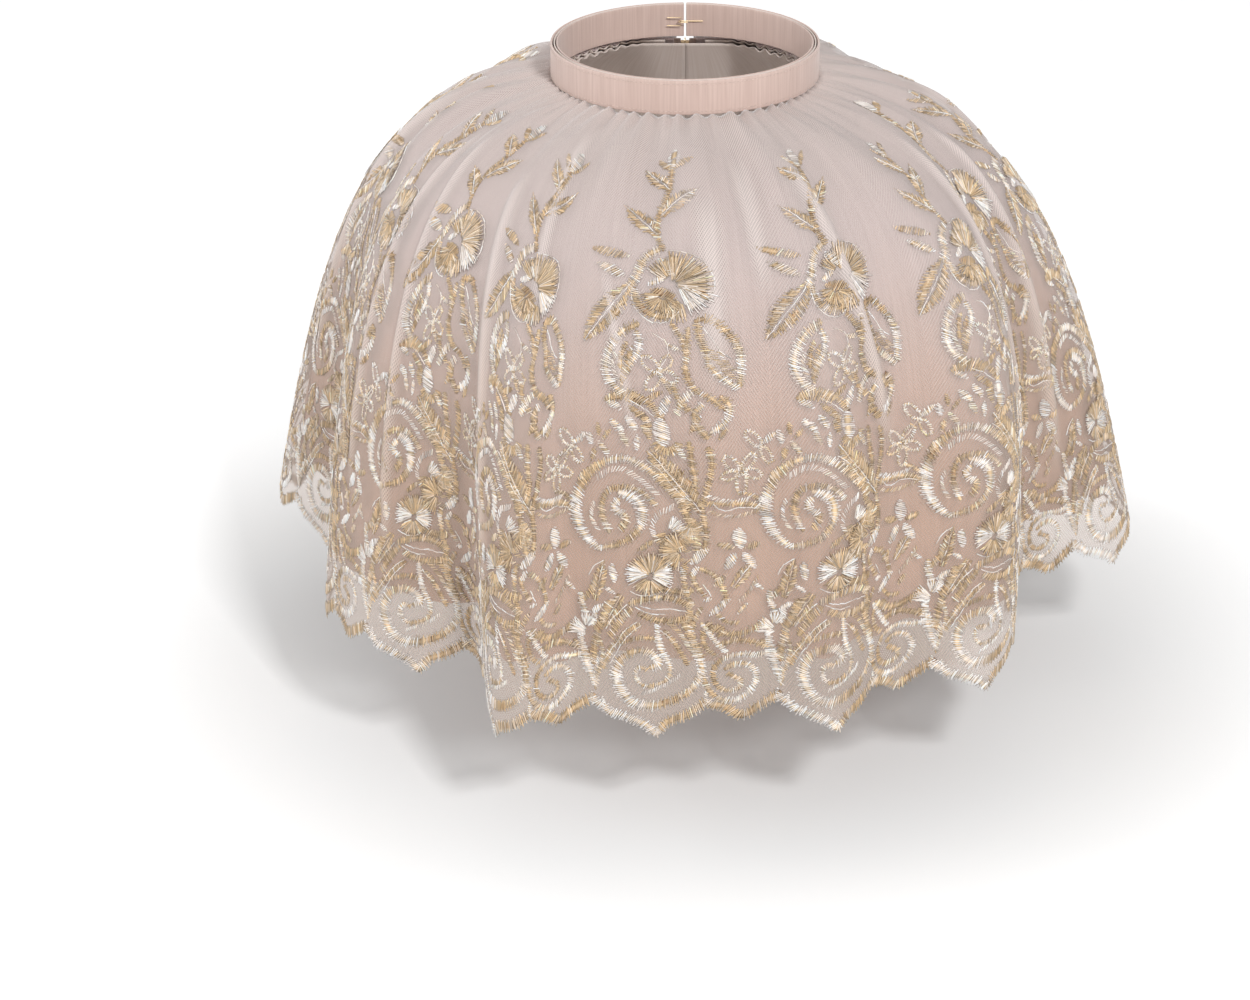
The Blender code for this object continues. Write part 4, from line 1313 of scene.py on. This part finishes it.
teeth_look = worn_look(
    "zip_teeth", TEETH_DARK, TEETH_LIGHT, metallic=0.0, roughness=(0.3, 0.45), grain=0.002
)
brass_look = worn_look(
    "pale_brass", BRASS_DARK, BRASS_LIGHT, metallic=1.0, roughness=(0.25, 0.42), grain=0.0015
)
for node, look in (
    ("zip_teeth_left", teeth_look),
    ("zip_teeth_right", teeth_look),
    ("zip_top_stop_left", brass_look),
    ("zip_top_stop_right", brass_look),
    ("zip_bottom_stop", brass_look),
    ("waist_hook", brass_look),
    ("waist_eye", brass_look),
):
    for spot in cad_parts[node].material_slots:
        spot.material = look

SLIDER_MIDDLE = 0.0169
SLIDER_SIDE = 0.009
PLATE_LEVELS = (-0.0032, 0.0006)
PLATE_THICKNESS = 0.001
PLATE_CORNER = 0.0018
BRIDGE_WIDTH = 0.0008
BRIDGE_REACH = 0.0013
BRIDGE_HEIGHT = 0.0034
BRIDGE_MIDDLE = 0.0141
BAIL_WIRE = 0.0010
BAIL_REACH = 0.0024
BAIL_FOOT = 0.0008
BAIL_TOP = 0.0040
BAIL_BEND = 0.0014
PULL_LEVEL = 0.0023
PULL_WIDTH = 0.0050
PULL_NECK = 0.0036
PULL_TOP = -0.00045
PULL_END = 0.02005
PULL_THICKNESS = 0.0009
PULL_CORNER = 0.0014
SLOT_WIDTH = 0.0022
SLOT_TOP = 0.00045
SLOT_END = 0.00445
SLOT_CORNER = 0.0007
EDGE_ROUND = 0.0002
EDGE_STEPS = 2
WIRE_STEPS = 3
ARC_STEPS = 7
WELD = 0.000002
SMOOTH_ANGLE = 35.0


def arcs(corners, radius):
    """An outline through corners, each turned with an arc."""
    outline = []
    corners = np.array(corners, float)
    for before, corner, after in zip(np.roll(corners, 1, 0), corners, np.roll(corners, -1, 0)):
        towards = (before - corner) / np.linalg.norm(before - corner)
        onwards = (after - corner) / np.linalg.norm(after - corner)
        for part in np.linspace(0.0, 1.0, ARC_STEPS):
            bend = towards * (1.0 - part) ** 2 + onwards * part**2
            outline.append(corner + radius * bend)
    return outline


def box_outline(wide, top, end, radius):
    """An outline with rounded corners, between two ends and the same on both sides of the zip."""
    return arcs(((-wide, top), (wide, top), (wide, end), (-wide, end)), radius)


def on_zip(thing, middle=0.0, level=0.0):
    """Turn a piece made flat on to the line of the zip, and make its shape final."""
    bpy.ops.object.convert(target="MESH")
    turn = Matrix(((1.0, 0.0, 0.0), zip_down, zip_out)).transposed().to_4x4()
    shift = Matrix.Translation((0.0, middle, level))
    thing.data.transform(Matrix.Translation(zip_top) @ turn @ shift)
    bpy.ops.object.mode_set(mode="EDIT")
    bpy.ops.mesh.select_all(action="SELECT")
    bpy.ops.mesh.remove_doubles(threshold=WELD)
    bpy.ops.mesh.normals_make_consistent(inside=False)
    bpy.ops.object.mode_set(mode="OBJECT")
    bpy.ops.object.shade_smooth_by_angle(angle=math.radians(SMOOTH_ANGLE))
    return thing


def splines(name, paths, closed):
    """A curve through points, as one or more lines."""
    shape = bpy.data.curves.new(name, "CURVE")
    shape.dimensions = "2D" if closed else "3D"
    for path in paths:
        drawn = shape.splines.new("POLY")
        drawn.points.add(len(path) - 1)
        drawn.use_cyclic_u = closed
        for spot, place in zip(drawn.points, path):
            spot.co = (*place, 0.0, 1.0) if closed else (*place, 1.0)
    return shape


def pressed(name, outlines, middle, level, thickness):
    """A pressed brass plate with rounded edges, from its outline and any holes."""
    shape = splines(name, outlines, True)
    shape.fill_mode = "BOTH"
    shape.offset = -EDGE_ROUND
    shape.extrude = 0.5 * thickness - EDGE_ROUND
    shape.bevel_depth = EDGE_ROUND
    shape.bevel_resolution = EDGE_STEPS
    return on_zip(link(name, shape, brass_look), middle, level)


half = 0.5 * SLIDER_SIDE
plate = [box_outline(half, -half, half, PLATE_CORNER)]
slider_parts = []
for name, level in (("zip_slider_brass", PLATE_LEVELS[1]), ("under_plate", PLATE_LEVELS[0])):
    slider_parts.append(pressed(name, plate, SLIDER_MIDDLE, level, PLATE_THICKNESS))
half = 0.5 * BRIDGE_WIDTH
bridge = [box_outline(half, -BRIDGE_REACH, BRIDGE_REACH, half)]
bridge_level = 0.5 * sum(PLATE_LEVELS)
slider_parts.append(pressed("bridge", bridge, BRIDGE_MIDDLE, bridge_level, BRIDGE_HEIGHT))

# The bail's wire is open at its feet, so half of the arc at each foot is cut off
arch = [(-BAIL_REACH, BAIL_FOOT), (-BAIL_REACH, BAIL_TOP)]
arch += [(BAIL_REACH, BAIL_TOP), (BAIL_REACH, BAIL_FOOT)]
half_arc = ARC_STEPS // 2
arch = arcs(arch, BAIL_BEND)[half_arc:-half_arc]
bail = splines("bail", [[(0.0, y, z) for y, z in arch]], False)
bail.bevel_depth = 0.5 * BAIL_WIRE
bail.bevel_resolution = WIRE_STEPS
bail.use_fill_caps = True
slider_parts.append(on_zip(link("bail", bail, brass_look), SLIDER_MIDDLE))
bpy.ops.object.select_all(action="DESELECT")
for piece in slider_parts:
    piece.select_set(True)
slider = slider_parts[0]
bpy.context.view_layer.objects.active = slider
bpy.ops.object.join()
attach(slider, "slider")
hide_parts("zip_slider")

neck = 0.5 * PULL_NECK
half = 0.5 * PULL_WIDTH
tab = arcs(((-neck, PULL_TOP), (neck, PULL_TOP), (half, PULL_END), (-half, PULL_END)), PULL_CORNER)
hole = box_outline(0.5 * SLOT_WIDTH, SLOT_TOP, SLOT_END, SLOT_CORNER)
pull = pressed("zip_pull_brass", [tab, hole], SLIDER_MIDDLE, PULL_LEVEL, PULL_THICKNESS)
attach(pull, "pull")
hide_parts("zip_pull")

# The stage: a pale floor below the hanging skirt, soft light from all round, a lamp up in front
# and a weaker one on the left, with the camera a little above the skirt and straight in front.
FLOOR_DROP = 0.48
FLOOR_SIZE = 12.0
FLOOR_COLOUR = (0.90, 0.90, 0.90, 1.0)
FLOOR_WHITE = (0.05, 0.40)
FLOOR_CLEAR = 0.60
WORLD_LIGHT = 0.52
LAMPS = {"key": ((0.8, -2.2, 1.6), 0.4, 48.0), "side": ((-2.4, 0.2, 0.6), 1.2, 24.0)}
LAMP_AIM = (0.0, 0.0, -0.2)
CAMERA_RISE = 25.5
CAMERA_DISTANCE = 2.4
CAMERA_LENS = 92.14
CAMERA_SHIFT = (-0.048, 0.0224)


def seen_rays(tree):
    """One for rays from the camera, straight or by way of metal or glass, and nought for others."""
    rays = tree.nodes.new("ShaderNodeLightPath")
    found = rays.outputs["Is Camera Ray"]
    for kind in ("Is Glossy Ray", "Is Transmission Ray"):
        either = tree.nodes.new("ShaderNodeMath")
        either.operation = "MAXIMUM"
        tree.links.new(found, either.inputs[0])
        tree.links.new(rays.outputs[kind], either.inputs[1])
        found = either.outputs[0]
    return found


floor_look, floor_shader = new_look("floor", roughness=0.9, specular=0.1)
floor_shader.inputs["Base Color"].default_value = FLOOR_COLOUR
floor_shader.inputs["Emission Color"].default_value = (1.0, 1.0, 1.0, 1.0)
floor_place = add_node(floor_look, "ShaderNodeTexCoord", {}).outputs["Object"]
away = add_node(floor_look, "ShaderNodeVectorMath", {0: floor_place}, operation="LENGTH")
clear_of_hem = {"Value": away.outputs["Value"], "From Min": HEM_RADIUS, "From Max": FLOOR_CLEAR}
clear_of_hem.update({"To Min": FLOOR_WHITE[0], "To Max": FLOOR_WHITE[1]})
open_floor = add_node(
    floor_look, "ShaderNodeMapRange", clear_of_hem, interpolation_type="SMOOTHSTEP"
)
whiten = {0: seen_rays(floor_look.node_tree), 1: open_floor.outputs["Result"]}
white = add_node(floor_look, "ShaderNodeMath", whiten, operation="MULTIPLY")
floor_look.node_tree.links.new(white.outputs[0], floor_shader.inputs["Emission Strength"])
bpy.ops.mesh.primitive_plane_add(size=FLOOR_SIZE, location=(0.0, 0.0, -FLOOR_DROP))
floor = bpy.context.object
floor.name = "floor"
floor.data.materials.append(floor_look)

world = bpy.data.worlds.new("studio")
bpy.context.scene.world = world
world.use_nodes = True
sky = world.node_tree.nodes["Background"]
level = world.node_tree.nodes.new("ShaderNodeMapRange")
level.inputs["To Min"].default_value = WORLD_LIGHT
level.inputs["To Max"].default_value = 1.0
world.node_tree.links.new(seen_rays(world.node_tree), level.inputs["Value"])
world.node_tree.links.new(level.outputs["Result"], sky.inputs["Strength"])
sky.inputs["Color"].default_value = (1.0, 1.0, 1.0, 1.0)

for name, (place, size, power) in LAMPS.items():
    lamp_data = bpy.data.lights.new(name, "AREA")
    lamp_data.energy = power
    lamp_data.size = size
    lamp = bpy.data.objects.new(name, lamp_data)
    lamp.location = place
    aim = Vector(LAMP_AIM) - lamp.location
    lamp.rotation_euler = aim.to_track_quat("-Z", "Y").to_euler()
    bpy.context.collection.objects.link(lamp)

camera_data = bpy.data.cameras.new("camera")
camera_data.lens = CAMERA_LENS
camera_data.shift_x, camera_data.shift_y = CAMERA_SHIFT
camera = bpy.data.objects.new("camera", camera_data)
rise = math.radians(CAMERA_RISE)
camera.location = (
    0.0,
    -CAMERA_DISTANCE * math.cos(rise),
    CAMERA_DISTANCE * math.sin(rise) - SKIRT_DROP,
)
camera.rotation_euler = (math.radians(90.0) - rise, 0.0, 0.0)
bpy.context.collection.objects.link(camera)
bpy.context.scene.camera = camera
bpy.context.scene.view_settings.view_transform = "Standard"
